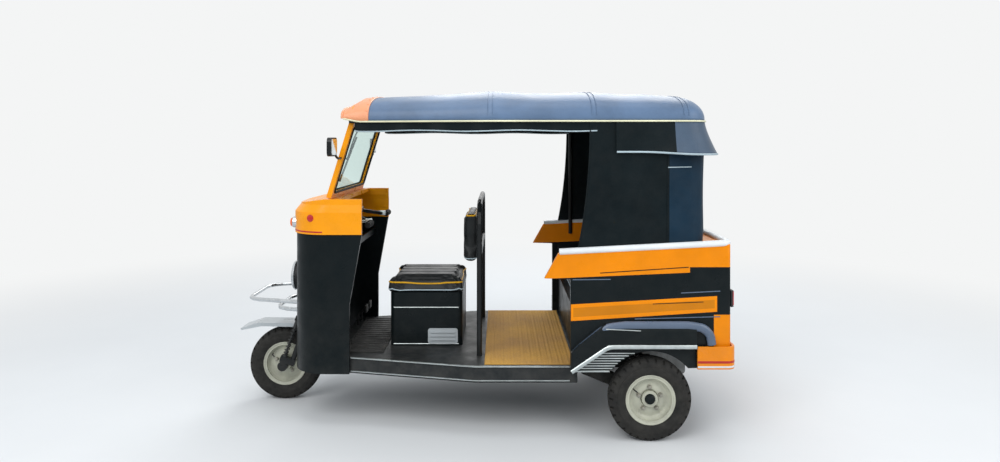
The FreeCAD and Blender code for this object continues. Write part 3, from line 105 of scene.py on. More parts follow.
# The steering axis leans back; pieces on it are placed along it from the ground
STEER_LEAN = math.radians(20)
STEER_FOOT = spot(2.030, 0, 0)


def on_column(ahead, y, along):
    """Point in the frame of the leaning steering axis."""
    return STEER_FOOT + Vector((
        ahead * math.cos(STEER_LEAN) - along * math.sin(STEER_LEAN), y,
        ahead * math.sin(STEER_LEAN) + along * math.cos(STEER_LEAN)))


def linear(code):
    """Linear RGBA of an sRGB hex colour."""
    parts = [int(code[n:n + 2], 16) / 255 for n in (0, 2, 4)]
    return tuple(p / 12.92 if p <= 0.04045 else ((p + 0.055) / 1.055) ** 2.4 for p in parts) + (1.0,)


def colour_property(name, description, code):
    return bpy.props.FloatVectorProperty(name=name, description=description, subtype="COLOR", size=4,
                                         min=0, max=1, default=linear(code))


def length_property(name, description, value):
    return bpy.props.FloatProperty(name=name, description=description, default=value, min=0,
                                   unit="LENGTH", precision=4)


class PaintColours(bpy.types.PropertyGroup):
    """Colours of the enamels, vinyls and mats"""
    band: colour_property("Front band", "Enamel of the band round the front", "F99E00")
    body: colour_property("Body stripes", "Enamel of the rear stripes and the bumper", "EE8A00")
    black: colour_property("Black enamel", "Cowl and lower body", "081215")
    rim: colour_property("Rims", "Cream enamel of the wheels", "BFC0AE")
    visor: colour_property("Visor", "Sun-bleached front of the roof", "E89C72")
    hood: colour_property("Hood", "Slate blue vinyl of the roof", "566E8C")
    flap: colour_property("Rear flap", "Weathered slate vinyl of the hood's flap", "44566A")
    rear: colour_property("Rear curtain", "Navy vinyl round the back", "10293A")
    curtain: colour_property("Side curtains", "Black vinyl", "081418")
    seat: colour_property("Seats", "Black vinyl of the cushions", "15191B")
    piping: colour_property("Piping", "Yellow cord of the seats", "E0A818")
    mat: colour_property("Passenger mat", "Tan matting", "B28A56")


class HoodSizes(bpy.types.PropertyGroup):
    """Sizes of the hood, its curtains and their edges"""
    skin: length_property("Skin", "Thickness of the hood's cloth", 0.003)
    sag: length_property("Sag", "How far the cloth falls between the bows", 0.009)
    cord: length_property("Piping", "Radius of the piping along the eaves", 0.0045)
    flap_drop: length_property("Flap", "Height of the flap round the back", 0.170)
    flap_flare: length_property("Flare", "How far the flap stands out at the back", 0.060)
    valance_drop: length_property("Valance", "Height of the valance under the eaves", 0.052)
    fold: length_property("Folds", "Depth of the curtains' folds", 0.006)


class SeatSizes(bpy.types.PropertyGroup):
    """Sizes of the padded seats"""
    swell: length_property("Swell", "How far a cushion may swell", 0.022)
    voxel: length_property("Mesh", "Width of the cushions' mesh", 0.012)
    channel: length_property("Channels", "Depth of the sewn channels", 0.009)
    pitch: length_property("Pitch", "Distance between the sewn channels", 0.098)
    cord: length_property("Piping", "Radius of the piping", 0.0045)


class WheelSizes(bpy.types.PropertyGroup):
    """Sizes of the tyres and the wheel fittings"""
    groove: length_property("Grooves", "Depth of the tread", 0.006)
    nut: length_property("Nuts", "Width across the wheel nuts", 0.017)
    nut_circle: length_property("Nut circle", "Radius of the circle of nuts", 0.058)
    segments: bpy.props.IntProperty(name="Segments", description="Facets round a tyre", default=120,
                                    min=24, max=240)


class StageSizes(bpy.types.PropertyGroup):
    """Camera and floor"""
    eye_x: length_property("Camera ahead", "Camera ahead of the rear axle", 0.751)
    eye_y: length_property("Camera aside", "Camera to the vehicle's left", 4.08)
    eye_z: length_property("Camera height", "Camera above the ground", 1.50)
    floor: length_property("Floor", "Radius of the studio floor", 60.0)


# Materials. Colours are the real finish's, except where a comment says that light or shade is painted
# into them, and pattern sizes are millimetres on the object

# Sockets of a colour Mix node, whose names are shared with its other types
MIX_FACTOR, MIX_A, MIX_B, MIX_RESULT = 0, 6, 7, 2
DUST = "77746E"
GRIME = "2A2622"
# Dust is thickest up to this height, and this share of it is left above its reach
DUST_FOOT = 0.12
DUST_LEAST = 0.02
# At scale 1 a wave texture's bands are about 1 / 6.28 of a metre wide
WAVE_BANDS = 6.28


def per_metre(millimetres):
    """Texture scale of a pattern whose features are that wide."""
    return 1000 / millimetres


def add(tree, kind, sockets=None, **settings):
    """Add a node with its settings; a socket takes a value or a link."""
    node = tree.nodes.new(kind)
    for name, value in settings.items():
        setattr(node, name, value)
    for name, value in (sockets or {}).items():
        if isinstance(value, bpy.types.NodeSocket):
            tree.links.new(value, node.inputs[name])
        else:
            node.inputs[name].default_value = value
    return node


def start(name, **sockets):
    """New material with a Principled shader; words of a socket's name are joined by underscores."""
    material = bpy.data.materials.new(name)
    material.use_nodes = True
    tree = material.node_tree
    shader = tree.nodes["Principled BSDF"]
    for words, value in sockets.items():
        shader.inputs[words.replace("_", " ")].default_value = value
    place = add(tree, "ShaderNodeTexCoord").outputs["Object"]
    return material, tree, shader, place


def patches(tree, place, width, low, high, detail=5.0, stretch=(1, 1, 1)):
    """Soft patches of a given width whose value runs from low to high."""
    spread = add(tree, "ShaderNodeVectorMath", {0: place, 1: stretch}, operation="MULTIPLY")
    cloud = add(tree, "ShaderNodeTexNoise", {
        "Vector": spread.outputs[0], "Scale": per_metre(width), "Detail": detail, "Roughness": 0.6})
    return add(tree, "ShaderNodeMapRange", {
        "Value": cloud.outputs["Fac"], "From Min": 0.32, "From Max": 0.68, "To Min": low,
        "To Max": high}).outputs["Result"]


def faded(tree, place, colour, width=260, depth=0.16):
    """A colour that is lighter and darker in broad patches, as sun and hands leave it."""
    value = patches(tree, place, width, 1 - depth, 1 + depth * 0.6)
    return add(tree, "ShaderNodeHueSaturation", {"Color": colour, "Value": value}).outputs["Color"]


def dusted(tree, place, colour, reach, share, code=DUST):
    """Road dust over a colour: patchy, thick low down and gone above its reach."""
    height = add(tree, "ShaderNodeSeparateXYZ", {"Vector": place}).outputs["Z"]
    fade = add(tree, "ShaderNodeMapRange", {
        "Value": height, "From Min": DUST_FOOT, "From Max": reach, "To Min": share,
        "To Max": DUST_LEAST}).outputs["Result"]
    cloud = patches(tree, place, 70, 0.15, 1.0, 8.0)
    amount = add(tree, "ShaderNodeMath", {0: fade, 1: cloud}, operation="MULTIPLY").outputs[0]
    return add(tree, "ShaderNodeMix", {MIX_FACTOR: amount, MIX_A: colour, MIX_B: linear(code)},
               data_type="RGBA").outputs[MIX_RESULT]


def dented(tree, shader, height, distance, strength=1.0):
    """Bump of a height pattern, in metres."""
    bump = add(tree, "ShaderNodeBump", {"Height": height, "Distance": distance, "Strength": strength})
    tree.links.new(bump.outputs["Normal"], shader.inputs["Normal"])


def enamel(name, colour, gloss=0.30, reach=0.75, share=0.4, pattern=None, shine=0.32):
    """Sprayed enamel on pressed steel: soft orange peel, sun fade, patchy gloss and road dust."""
    material, tree, shader, place = start(name, Specular_IOR_Level=shine, Coat_Weight=shine * 0.5,
                                          Coat_Roughness=0.12)
    base = pattern(tree, place) if pattern else colour
    faded_paint = faded(tree, place, base, 300, 0.13)
    tree.links.new(dusted(tree, place, faded_paint, reach, share), shader.inputs["Base Color"])
    tree.links.new(patches(tree, place, 120, gloss - 0.07, gloss + 0.20, 7.0),
                   shader.inputs["Roughness"])
    # real orange peel is 2 mm wide and would not show, so it is drawn 14 mm wide
    dented(tree, shader, patches(tree, place, 14, 0, 1, 2.0), 0.0005, 0.35)
    return material


def metal(name, colour, gloss, grain=(1, 1, 1), soil=0.25, reach=0.6, bump=0.0004):
    """Bare or plated metal with a fine grain along one way, and grime in patches."""
    material, tree, shader, place = start(name, Metallic=0.9)
    tarnished = faded(tree, place, colour, 60, 0.18)
    tree.links.new(dusted(tree, place, tarnished, reach, soil, GRIME), shader.inputs["Base Color"])
    tree.links.new(patches(tree, place, 26, gloss - 0.06, gloss + 0.16, 6.0, grain),
                   shader.inputs["Roughness"])
    dented(tree, shader, patches(tree, place, 8, 0, 1, 4.0, grain), bump, 0.5)
    return material


def leathercloth(name, colour, gloss=0.46, grain=9, depth=0.0009, dust=0.18, shine=0.2,
                 uneven=1.0):
    """Vinyl on a woven back: pebbled grain, polished where it is touched and dusty in patches."""
    material, tree, shader, place = start(name, Specular_IOR_Level=shine, Sheen_Weight=0.03,
                                          Sheen_Roughness=0.4)
    patch_tone = faded(tree, place, colour, 190, 0.2)
    tree.links.new(dusted(tree, place, patch_tone, 3.0, dust), shader.inputs["Base Color"])
    tree.links.new(patches(tree, place, 95, gloss - 0.10 * uneven, gloss + 0.14 * uneven),
                   shader.inputs["Roughness"])
    # real grain is 1.5 mm wide and would not show, so its pebbles are drawn wider
    pebbles = add(tree, "ShaderNodeTexVoronoi", {"Vector": place, "Scale": per_metre(grain)},
                  feature="SMOOTH_F1").outputs["Distance"]
    dented(tree, shader, pebbles, depth, 0.5)
    return material


def moulded(name, colour, gloss=0.5, soil=0.3, reach=0.7, grain=5):
    """Moulded rubber or plastic with a fine stipple, dulled by dust."""
    material, tree, shader, place = start(name, Specular_IOR_Level=0.4)
    tree.links.new(dusted(tree, place, faded(tree, place, colour, 90, 0.12), reach, soil),
                   shader.inputs["Base Color"])
    tree.links.new(patches(tree, place, 40, gloss - 0.06, gloss + 0.12), shader.inputs["Roughness"])
    dented(tree, shader, patches(tree, place, grain, 0, 1, 3.0), 0.0006, 0.4)
    return material


def lens(name, code, gloss, ridge, glow, clear):
    """Moulded acrylic or pressed glass with upright flutes on its inside."""
    material, tree, shader, place = start(name, Transmission_Weight=clear, IOR=1.49,
                                          Roughness=gloss, Coat_Weight=0.4)
    colour = linear(code)
    tree.links.new(faded(tree, place, colour, 30, 0.1), shader.inputs["Base Color"])
    shader.inputs["Emission Color"].default_value = colour
    shader.inputs["Emission Strength"].default_value = glow
    flutes = add(tree, "ShaderNodeTexWave", {"Vector": place, "Scale": per_metre(ridge) / WAVE_BANDS},
                 bands_direction="Y").outputs["Fac"]
    dented(tree, shader, flutes, 0.001, 0.6)
    return material


def beyond(tree, place, normal, limit):
    """1 on the far side of a plane across the object, else 0."""
    reach = add(tree, "ShaderNodeVectorMath", {0: place, 1: normal}, operation="DOT_PRODUCT")
    return add(tree, "ShaderNodeMath", {0: reach.outputs["Value"], 1: limit},
               operation="GREATER_THAN").outputs[0]


def inside(tree, place, planes):
    """1 where a point is beyond every plane, else 0."""
    mask = 1.0
    for normal, limit in planes:
        side = beyond(tree, place, normal, limit)
        mask = add(tree, "ShaderNodeMath", {0: side, 1: mask}, operation="MULTIPLY").outputs[0]
    return mask


def line_over(x1, z1, x2, z2, above=True):
    """Plane through a sloping line on the body's side, kept above or below it."""
    slope = (z2 - z1) / (x2 - x1)
    sign = 1 if above else -1
    return (-slope * sign, 0, sign), (z1 - slope * fore(x1)) * sign


def ahead_of(x):
    """Plane across the body, kept ahead of a place."""
    return (1, 0, 0), fore(x)


def behind(x):
    """Plane across the body, kept behind a place."""
    return (-1, 0, 0), -fore(x)


# Stripes of the rear body: front end, its height, rear end, its height
UPPER_STRIPE_FOOT = (0.50, 0.815, -0.20, 0.845)
UPPER_STRIPE_STEP = (-0.195, 0.872)
LOWER_STRIPE_TOP = (0.398, 0.686, -0.30, 0.7265)
LOWER_STRIPE_FOOT = (0.398, 0.6035, -0.30, 0.648)
LOWER_STRIPE_REAR = -0.33
# Border of the lower stripe: above and below its darker middle, which is painted shade of a pressed
# recess, and at its ends
STRIPE_EDGE = 0.018
STRIPE_END = 0.012
# Orange corner at the rear: its front and its top
CORNER_FRONT, CORNER_TOP = -0.314, 0.635


def stripes(tree, place):
    """Black body with an orange band below the belt, a bordered stripe whose darker middle is painted
    shade, and an orange rear corner.
    """
    colours = bpy.context.scene.rickshaw_colours
    orange, black = tuple(colours.body), tuple(colours.black)
    # darker orange for the lower stripe's middle: painted shade in its pressed recess
    inner = linear("C97A0A")
    x1, z1, x2, z2 = LOWER_STRIPE_TOP
    x3, z3, x4, z4 = LOWER_STRIPE_FOOT
    step_x, step_z = UPPER_STRIPE_STEP
    areas = (
        (orange, [line_over(*UPPER_STRIPE_FOOT), ahead_of(step_x)]),
        (orange, [line_over(0, step_z, 1, step_z), behind(step_x)]),
        (orange, [line_over(x1, z1, x2, z2, False), line_over(x3, z3, x4, z4), behind(x1),
                  ahead_of(LOWER_STRIPE_REAR)]),
        (inner, [line_over(x1, z1 - STRIPE_EDGE, x2, z2 - STRIPE_EDGE, False),
                 line_over(x3, z3 + STRIPE_EDGE, x4, z4 + STRIPE_EDGE), behind(x1 - STRIPE_END),
                 ahead_of(LOWER_STRIPE_REAR + STRIPE_END)]),
        (orange, [line_over(0, CORNER_TOP, 1, CORNER_TOP, False), behind(CORNER_FRONT)]),
    )
    paint = black
    for colour, planes in areas:
        paint = add(tree, "ShaderNodeMix", {
            MIX_FACTOR: inside(tree, place, planes), MIX_A: paint, MIX_B: colour},
            data_type="RGBA").outputs[MIX_RESULT]
    return paint


def glass(name, code, gloss, clear, bend=1.45):
    """Sheet glass or clear vinyl: a pale tint, with a film of dust that dulls it in patches."""
    material, tree, shader, place = start(name, Base_Color=linear(code), Transmission_Weight=clear,
                                          IOR=bend)
    tree.links.new(patches(tree, place, 160, gloss, gloss + 0.05), shader.inputs["Roughness"])
    dented(tree, shader, patches(tree, place, 220, 0, 1, 1.0), 0.0012, 0.25)
    return material


def matting(name, colour, patch_tone, rib):
    """Ribbed mat of rubberised coir: rows of cord, with paler yellow patches at random places that are
    painted sunlight.
    """
    material, tree, shader, place = start(name, Roughness=0.85, Specular_IOR_Level=0.2)
    sunlit_patches = patches(tree, place, 330, 0.0, 0.85, 4.0)
    mixed = add(tree, "ShaderNodeMix", {MIX_FACTOR: sunlit_patches, MIX_A: colour, MIX_B: linear(patch_tone)},
                data_type="RGBA").outputs[MIX_RESULT]
    flecked = faded(tree, place, mixed, 9, 0.16)
    tree.links.new(flecked, shader.inputs["Base Color"])
    rows = add(tree, "ShaderNodeTexWave", {
        "Vector": place, "Scale": per_metre(rib) / WAVE_BANDS, "Distortion": 0.6}).outputs["Fac"]
    dented(tree, shader, rows, 0.002, 0.7)
    return material


def road_rubber():
    """Tyre rubber: near black, dull, with pale dust on the tread and up the side walls."""
    material, tree, shader, place = start("Tyre rubber", Specular_IOR_Level=0.3)
    base = faded(tree, place, linear("141516"), 45, 0.15)
    cloud = patches(tree, place, 90, 0.04, 0.22, 9.0)
    dirty = add(tree, "ShaderNodeMix", {MIX_FACTOR: cloud, MIX_A: base, MIX_B: linear("5C5850")},
                data_type="RGBA").outputs[MIX_RESULT]
    tree.links.new(dirty, shader.inputs["Base Color"])
    tree.links.new(patches(tree, place, 25, 0.66, 0.9), shader.inputs["Roughness"])
    dented(tree, shader, patches(tree, place, 5, 0, 1, 3.0), 0.0006, 0.4)
    return material


FINISHES = {}


def make_finishes():
    """Every finish of the object by its plain name, with what it gives the eye."""
    colours = bpy.context.scene.rickshaw_colours
    FINISHES.update({
        # glossy yellow-orange band, bumper and screen frame, slightly chalked by the sun
        "band": enamel("Orange enamel front", tuple(colours.band), 0.27, 0.75, 0.15, shine=0.22),
        "orange": enamel("Orange enamel", tuple(colours.body), 0.28, 0.75, 0.2, shine=0.2),
        # black body colour, dust-grey towards the ground
        "black": enamel("Black enamel", tuple(colours.black), 0.30, 0.7, 0.08, shine=0.10),
        "striped": enamel("Black enamel with stripes", tuple(colours.black), 0.28, 0.7, 0.08,
                          stripes, 0.12),
        "floor": enamel("Dark floor enamel", linear("191E21"), 0.42, 0.9, 0.22, shine=0.15),
        # chassis black is satin and caked with dust
        "chassis": enamel("Chassis black", linear("131617"), 0.55, 0.6, 0.3, shine=0.12),
        "tube": enamel("Black tube enamel", linear("0E1214"), 0.30, 0.5, 0.1, shine=0.22),
        "rim": enamel("Cream wheel enamel", tuple(colours.rim), 0.42, 0.6, 0.45),
        # aluminium paint of the front mudguard: pale, nearly white, soft sheen
        "silver": enamel("Aluminium paint", linear("B4BABD"), 0.30, 0.5, 0.15),
        "white": enamel("White enamel rail", linear("E9EDEF"), 0.32, 0.4, 0.1),
        # crest of the fenders and some swages: their blue-grey is a painted sky reflection along the
        # top of the black fender, with a real gloss over it
        "crest": enamel("Blue-grey fender enamel", linear("56657A"), 0.28, 0.5, 0.12, shine=0.4),
        # narrow retro-reflecting tapes
        "red_tape": enamel("Red tape", linear("B3231A"), 0.35, 0.4, 0.1),
        "white_tape": enamel("White tape", linear("D9DEE0"), 0.35, 0.4, 0.1),
        "visor": enamel("Bleached orange enamel", tuple(colours.visor), 0.38, 0.5, 0.05),
        "spring": enamel("Spring black", linear("202325"), 0.42, 0.6, 0.4),
        "rear_plate": enamel("Yellow plate", linear("E3B022"), 0.35, 0.6, 0.2),
        "chrome": metal("Chromed steel", linear("C9CDD0"), 0.16, soil=0.12),
        "bright": metal("Anodised aluminium trim", linear("C3CBCB"), 0.30, (0.12, 1, 1), 0.12),
        "zinc": metal("Zinc-plated steel", linear("A9A79C"), 0.38),
        "alloy": metal("Cast aluminium", linear("8C8F8F"), 0.55, soil=0.6, bump=0.001),
        "exhaust": metal("Heat-stained steel", linear("6A5A4C"), 0.52, soil=0.5, bump=0.0008),
        "reflector": metal("Vacuum-plated reflector", linear("E6E8EA"), 0.08, soil=0.0),
        "mirror": metal("Mirror glass", linear("DDE6E8"), 0.03, soil=0.0, bump=0.00005),
        "hood": leathercloth("Slate blue vinyl", tuple(colours.hood), 0.38, 10, 0.0004, 0.04, 0.4, 0.3),
        # the flap's slate is darker than the hood's as painted shade
        "flap": leathercloth("Weathered slate vinyl", tuple(colours.flap), 0.44, 10, 0.0004, 0.05,
                             0.3, 0.3),
        "rear": leathercloth("Navy vinyl", tuple(colours.rear), 0.42, dust=0.04, shine=0.12),
        "curtain": leathercloth("Black vinyl", tuple(colours.curtain), 0.46, dust=0.03, shine=0.10),
        "lining": leathercloth("Dark hood lining", linear("1B2224"), 0.8, 6, 0.0006, 0.05),
        "seat": leathercloth("Seat vinyl", tuple(colours.seat), 0.40, 7, dust=0.06),
        "piping": leathercloth("Yellow piping", tuple(colours.piping), 0.4, 4, 0.0004, 0.05),
        # the eave piping is real, and its near-white cream is partly painted highlight along the eaves
        "cream": leathercloth("Cream piping", linear("E9E6C4"), 0.42, 4, 0.0004, 0.05),
        "hem": leathercloth("Pale hem tape", linear("AFC0C8"), 0.5, 4, 0.0004, 0.05),
        # the mat's paler yellow is painted sunlight, mixed in by patches
        "mat": matting("Tan matting", tuple(colours.mat), "CFA04F", 14),
        "rubber": moulded("Black rubber", linear("17191A"), 0.7),
        "plastic": moulded("Black moulded plastic", linear("14171A"), 0.45),
        "grip": moulded("Grip rubber", linear("1A1A1B"), 0.62),
        "tyre": road_rubber(),
        # a thin flat pane hardly bends what is seen through it, so its index is small
        "screen": glass("Windscreen glass", "DDF2EC", 0.0, 1.0, 1.12),
        "clear": glass("Clear vinyl window", "D8E0DC", 0.12, 0.85),
        "headlamp": lens("Fluted lamp glass", "F4F7F5", 0.03, 9, 0.0, 0.95),
        "amber": lens("Amber acrylic", "F07A10", 0.12, 6, 0.12, 0.6),
        "red": lens("Red acrylic", "C41A22", 0.12, 6, 0.12, 0.5),
        "dial": moulded("Dial face", linear("E4E2D6"), 0.4, 0.05),
    })


# Mesh helpers: each adds to a bmesh by Blender's own operators

def slab(bm, low, high, edge=0.0, segments=2):
    """Block between two corners with rounded edges."""
    low, high = Vector(low), Vector(high)
    size = high - low
    new = bmesh.ops.create_cube(bm, size=1, matrix=Matrix.LocRotScale((low + high) / 2, None, size))
    if edge:
        edges = list({e for v in new["verts"] for e in v.link_edges})
        bmesh.ops.bevel(bm, geom=edges, offset=edge, segments=segments, profile=0.5,
                        affect="EDGES", material=-1)


def disc(bm, centre, radius, depth, along=LEFT, sides=32, edge=0.0):
    """Round bar or plate about a point, with rounded rims."""
    turn = UP.rotation_difference(Vector(along)).to_matrix().to_4x4()
    new = bmesh.ops.create_cone(bm, cap_ends=True, segments=sides, radius1=radius, radius2=radius,
                                depth=depth, matrix=Matrix.Translation(centre) @ turn)
    if edge:
        rims = [e for e in {e for v in new["verts"] for e in v.link_edges}
                if any(len(f.verts) > 4 for f in e.link_faces)]
        bmesh.ops.bevel(bm, geom=rims, offset=edge, segments=2, profile=0.5, affect="EDGES",
                        material=-1)


def ball(bm, centre, radius, scale=(1, 1, 1), sides=20):
    """Ball, or a domed button where it is scaled."""
    bmesh.ops.create_uvsphere(bm, u_segments=sides, v_segments=sides // 2, radius=radius,
                              matrix=Matrix.LocRotScale(Vector(centre), None, Vector(scale)))


def lathe(bm, profile, centre, along=LEFT, steps=64):
    """Turn a profile of (place along the axis, radius) about an axis through a point."""
    along = Vector(along)
    turn = UP.rotation_difference(along).to_matrix()
    verts = [bm.verts.new(Vector(centre) + turn @ Vector((radius, 0, place)))
             for place, radius in profile]
    edges = [bm.edges.new(ends) for ends in zip(verts, verts[1:])]
    bmesh.ops.spin(bm, geom=verts + edges, cent=centre, axis=along, angle=2 * math.pi, steps=steps,
                   use_merge=True)


def ring_of(bm, profile, centre, along, steps, side=1):
    """Turn a closed profile about an axis; side -1 mirrors it along the axis."""
    profile = [(place * side, radius) for place, radius in profile]
    lathe(bm, profile + [profile[0]], centre, along, steps)


def directions(points, closed):
    """Direction of travel at each point of a line."""
    count = len(points)
    found = []
    for n in range(count):
        before = points[n - 1] if closed or n else points[n]
        after = points[(n + 1) % count] if closed or n < count - 1 else points[n]
        found.append((after - before).normalized())
    return found


def sweep(bm, points, radius, sides=10, closed=False, flat=1.0, up=None):
    """Bar of round or flattened section extruded from point to point."""
    ways = directions(points, closed)
    side = ways[0].orthogonal() if up is None else Vector(up).cross(ways[0])
    side = (side - ways[0] * side.dot(ways[0])).normalized()
    frames = []
    for point, way in zip(points, ways):
        if up is not None:
            side = Vector(up).cross(way)
        side = (side - way * side.dot(way)).normalized()
        other = way.cross(side)
        frames.append(Matrix.Translation(point)
                      @ Matrix((side, other, way)).transposed().to_4x4())
    first = bmesh.ops.create_circle(bm, segments=sides, radius=radius, matrix=frames[0]
                                    @ Matrix.Diagonal((1, flat, 1, 1)))
    start_edges = list({e for v in first["verts"] for e in v.link_edges})
    ring = start_edges
    for last, here in zip(frames, frames[1:]):
        made = bmesh.ops.extrude_edge_only(bm, edges=ring)
        verts = [g for g in made["geom"] if isinstance(g, bmesh.types.BMVert)]
        ring = [g for g in made["geom"] if isinstance(g, bmesh.types.BMEdge)
                and all(v in verts for v in g.verts)]
        bmesh.ops.transform(bm, matrix=here @ last.inverted(), verts=verts)
    if closed:
        bmesh.ops.bridge_loops(bm, edges=start_edges + ring)
    else:
        bmesh.ops.edgeloop_fill(bm, edges=start_edges)
        bmesh.ops.edgeloop_fill(bm, edges=ring)


# A corner is left as it is when half its angle is above this, and a round takes at most this
# share of a run
NEARLY_STRAIGHT = math.radians(88)
ROUND_SHARE = 0.45


def rounded_line(points, radius, steps=5, closed=False):
    """Points of straight runs whose corners are rounded to a radius."""
    points = [Vector(p) for p in points]
    count = len(points)
    line = []
    for n, here in enumerate(points):
        if not closed and n in (0, count - 1):
            line.append(here)
            continue
        back = points[n - 1] - here
        on = points[(n + 1) % count] - here
        half = back.angle(on) / 2
        if half > NEARLY_STRAIGHT:
            line.append(here)
            continue
        reach = min(radius / math.tan(half), back.length * ROUND_SHARE,
                    on.length * ROUND_SHARE)
        bend = reach * math.tan(half)
        a, b = here + back.normalized() * reach, here + on.normalized() * reach
        centre = here + (back.normalized() + on.normalized()).normalized() * (bend / math.sin(half))
        u, v = a - centre, b - centre
        total = u.angle(v)
        for k in range(steps + 1):
            t = k / steps
            line.append(centre + (u * math.sin((1 - t) * total) + v * math.sin(t * total))
                        / math.sin(total))
    return line


def finished(bm, name, body, *finishes, slot=None, angle=35, keep_normals=False):
    """Make a bmesh a piece with its finishes that rides on a body."""
    bmesh.ops.remove_doubles(bm, verts=bm.verts, dist=1e-5)
    if not keep_normals:
        bmesh.ops.recalc_face_normals(bm, faces=bm.faces)
    mesh = bpy.data.meshes.new(name)
    bm.to_mesh(mesh)
    bm.free()
    mesh.shade_smooth()
    mesh.set_sharp_from_angle(angle=math.radians(angle))
    piece = bpy.data.objects.new(name, mesh)
    bpy.context.scene.collection.objects.link(piece)
    for key in finishes:
        mesh.materials.append(FINISHES[key])
    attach(piece, body)
    return piece


def modifier(piece, kind, **settings):
    """Add a modifier of a kind with its settings."""
    made = piece.modifiers.new(kind.title(), kind)
    for name, value in settings.items():
        setattr(made, name, value)
    return made


def pair(build, name, finish, slot, body="chassis"):
    """Piece of a left-hand form and its mirror image."""
    bm = bmesh.new()
    build(bm)
    whole = list(bm.verts) + list(bm.edges) + list(bm.faces)
    bmesh.ops.mirror(bm, geom=whole, axis="Y", merge_dist=0)
    return finished(bm, name, body, finish, slot=slot)


def bar(name, finish, slot, *run, **section):
    """Piece of one swept bar on the chassis."""
    bm = bmesh.new()
    sweep(bm, *run, **section)
    return finished(bm, name, "chassis", finish, slot=slot)


def smoothstep(low, high, value):
    """Smooth climb from 0 at low to 1 at high."""
    t = min(max((value - low) / (high - low), 0), 1)
    return t * t * (3 - 2 * t)


def ripple(point, width, seed=0.0):
    """Soft noise from -1 to 1 whose folds are about as wide as width."""
    return noise.noise(Vector(point) / width + Vector((seed, seed * 1.7, seed * 0.6)))


# Hood: stations from the front, each with its place, half-width, eave height and crown height

HOOD_CROWN = highest("hood_roof").z
HOOD_EAVE = lowest("hood_roof").z
HOOD_HALF = highest("hood_roof").y
HOOD_REAR = lowest("hood_roof").x - REAR_AXLE.x
HOOD_FRONT = highest("hood_roof").x - REAR_AXLE.x
HOOD_BOWS = (1.48, 0.80, 0.28, -0.18)
REAR_ROUND = 0.11
REAR_DROP = 0.085
HOOD_ROWS = (
    (HOOD_FRONT, 0.470, HOOD_EAVE + 0.018, HOOD_CROWN - 0.095),
    (HOOD_FRONT - 0.09, 0.482, HOOD_EAVE, HOOD_CROWN - 0.034),
    (1.15, 0.553, HOOD_EAVE, HOOD_CROWN - 0.010),
    (0.80, HOOD_HALF - 0.008, HOOD_EAVE, HOOD_CROWN),
    (0.00, HOOD_HALF, HOOD_EAVE, HOOD_CROWN - 0.006),
    (HOOD_REAR + REAR_ROUND, HOOD_HALF, HOOD_EAVE, HOOD_CROWN - 0.028),
)
# Power of the hood's arch: 1 is an ellipse, and less is squarer in its shoulders
ARCH = 2 / 2.9
# Where the flap and the piping round the back begin
FLAP_FRONT = 0.17


def between_rows(rows, x):
    """Row at a place, on straight runs between the stations."""
    for (a, *first), (b, *second) in zip(rows, rows[1:]):
        if b <= x <= a:
            t = (a - x) / (a - b)
            return [p + (q - p) * t for p, q in zip(first, second)]
    return list(rows[0][1:] if x > rows[0][0] else rows[-1][1:])


def hood_point(x, turn, lift=0.0):
    """Point of the hood's skin; turn runs from the left eave, 0, over the crown to the right, 1."""
    start_round = HOOD_ROWS[-1][0]
    half, eave, crown = between_rows(HOOD_ROWS, max(x, start_round))
    if x < start_round:
        share = min((start_round - x) / REAR_ROUND, 1.0)
        bend = 1 - math.sqrt(max(1 - share * share, 0))
        half -= REAR_ROUND * bend
        crown -= REAR_DROP * bend
    angle = math.pi * turn
    across = math.copysign(abs(math.cos(angle)) ** ARCH, math.cos(angle))
    rise = abs(math.sin(angle)) ** ARCH
    return spot(x, (half + lift) * across, eave + (crown + lift - eave) * rise)


def hood_sag(x, turn, depth):
    """Cloth between two bows falls a little, most at the crown."""
    for front, rear in zip(HOOD_BOWS, HOOD_BOWS[1:]):
        if rear <= x <= front:
            return depth * math.sin(math.pi * (front - x) / (front - rear)) ** 2 * math.sin(
                math.pi * turn) ** 0.5
    return 0.0


def grid_sheet(bm, rows, columns, place):
    """Sheet of rows by columns whose corners are placed by a function of two shares."""
    made = bmesh.ops.create_grid(bm, x_segments=columns, y_segments=rows, size=0.5)
    for vert in made["verts"]:
        vert.co = place(vert.co.x + 0.5, vert.co.y + 0.5)
    return made["verts"]


def wrap_line(front, half, rear, corner, count):
    """Points and outward ways along a U from the left front round the back to the right front."""
    corners = [spot(front, half, 0), spot(rear, half, 0), spot(rear, -half, 0), spot(front, -half, 0)]
    line = rounded_line(corners, corner, 10)
    lengths = [0.0]
    for a, b in zip(line, line[1:]):
        lengths.append(lengths[-1] + (b - a).length)
    found, n = [], 0
    for k in range(count + 1):
        goal = lengths[-1] * k / count
        while n < len(line) - 2 and lengths[n + 1] < goal:
            n += 1
        t = (goal - lengths[n]) / (lengths[n + 1] - lengths[n])
        found.append(line[n].lerp(line[n + 1], t))
    ways = directions(found, False)
    return found, [way.cross(UP) for way in ways]


def hood_wrap(count):
    """Line and outward ways round the back of the eave, just outside the hood's skin."""
    return wrap_line(FLAP_FRONT, HOOD_HALF + 0.002, HOOD_REAR - 0.002, REAR_ROUND, count)


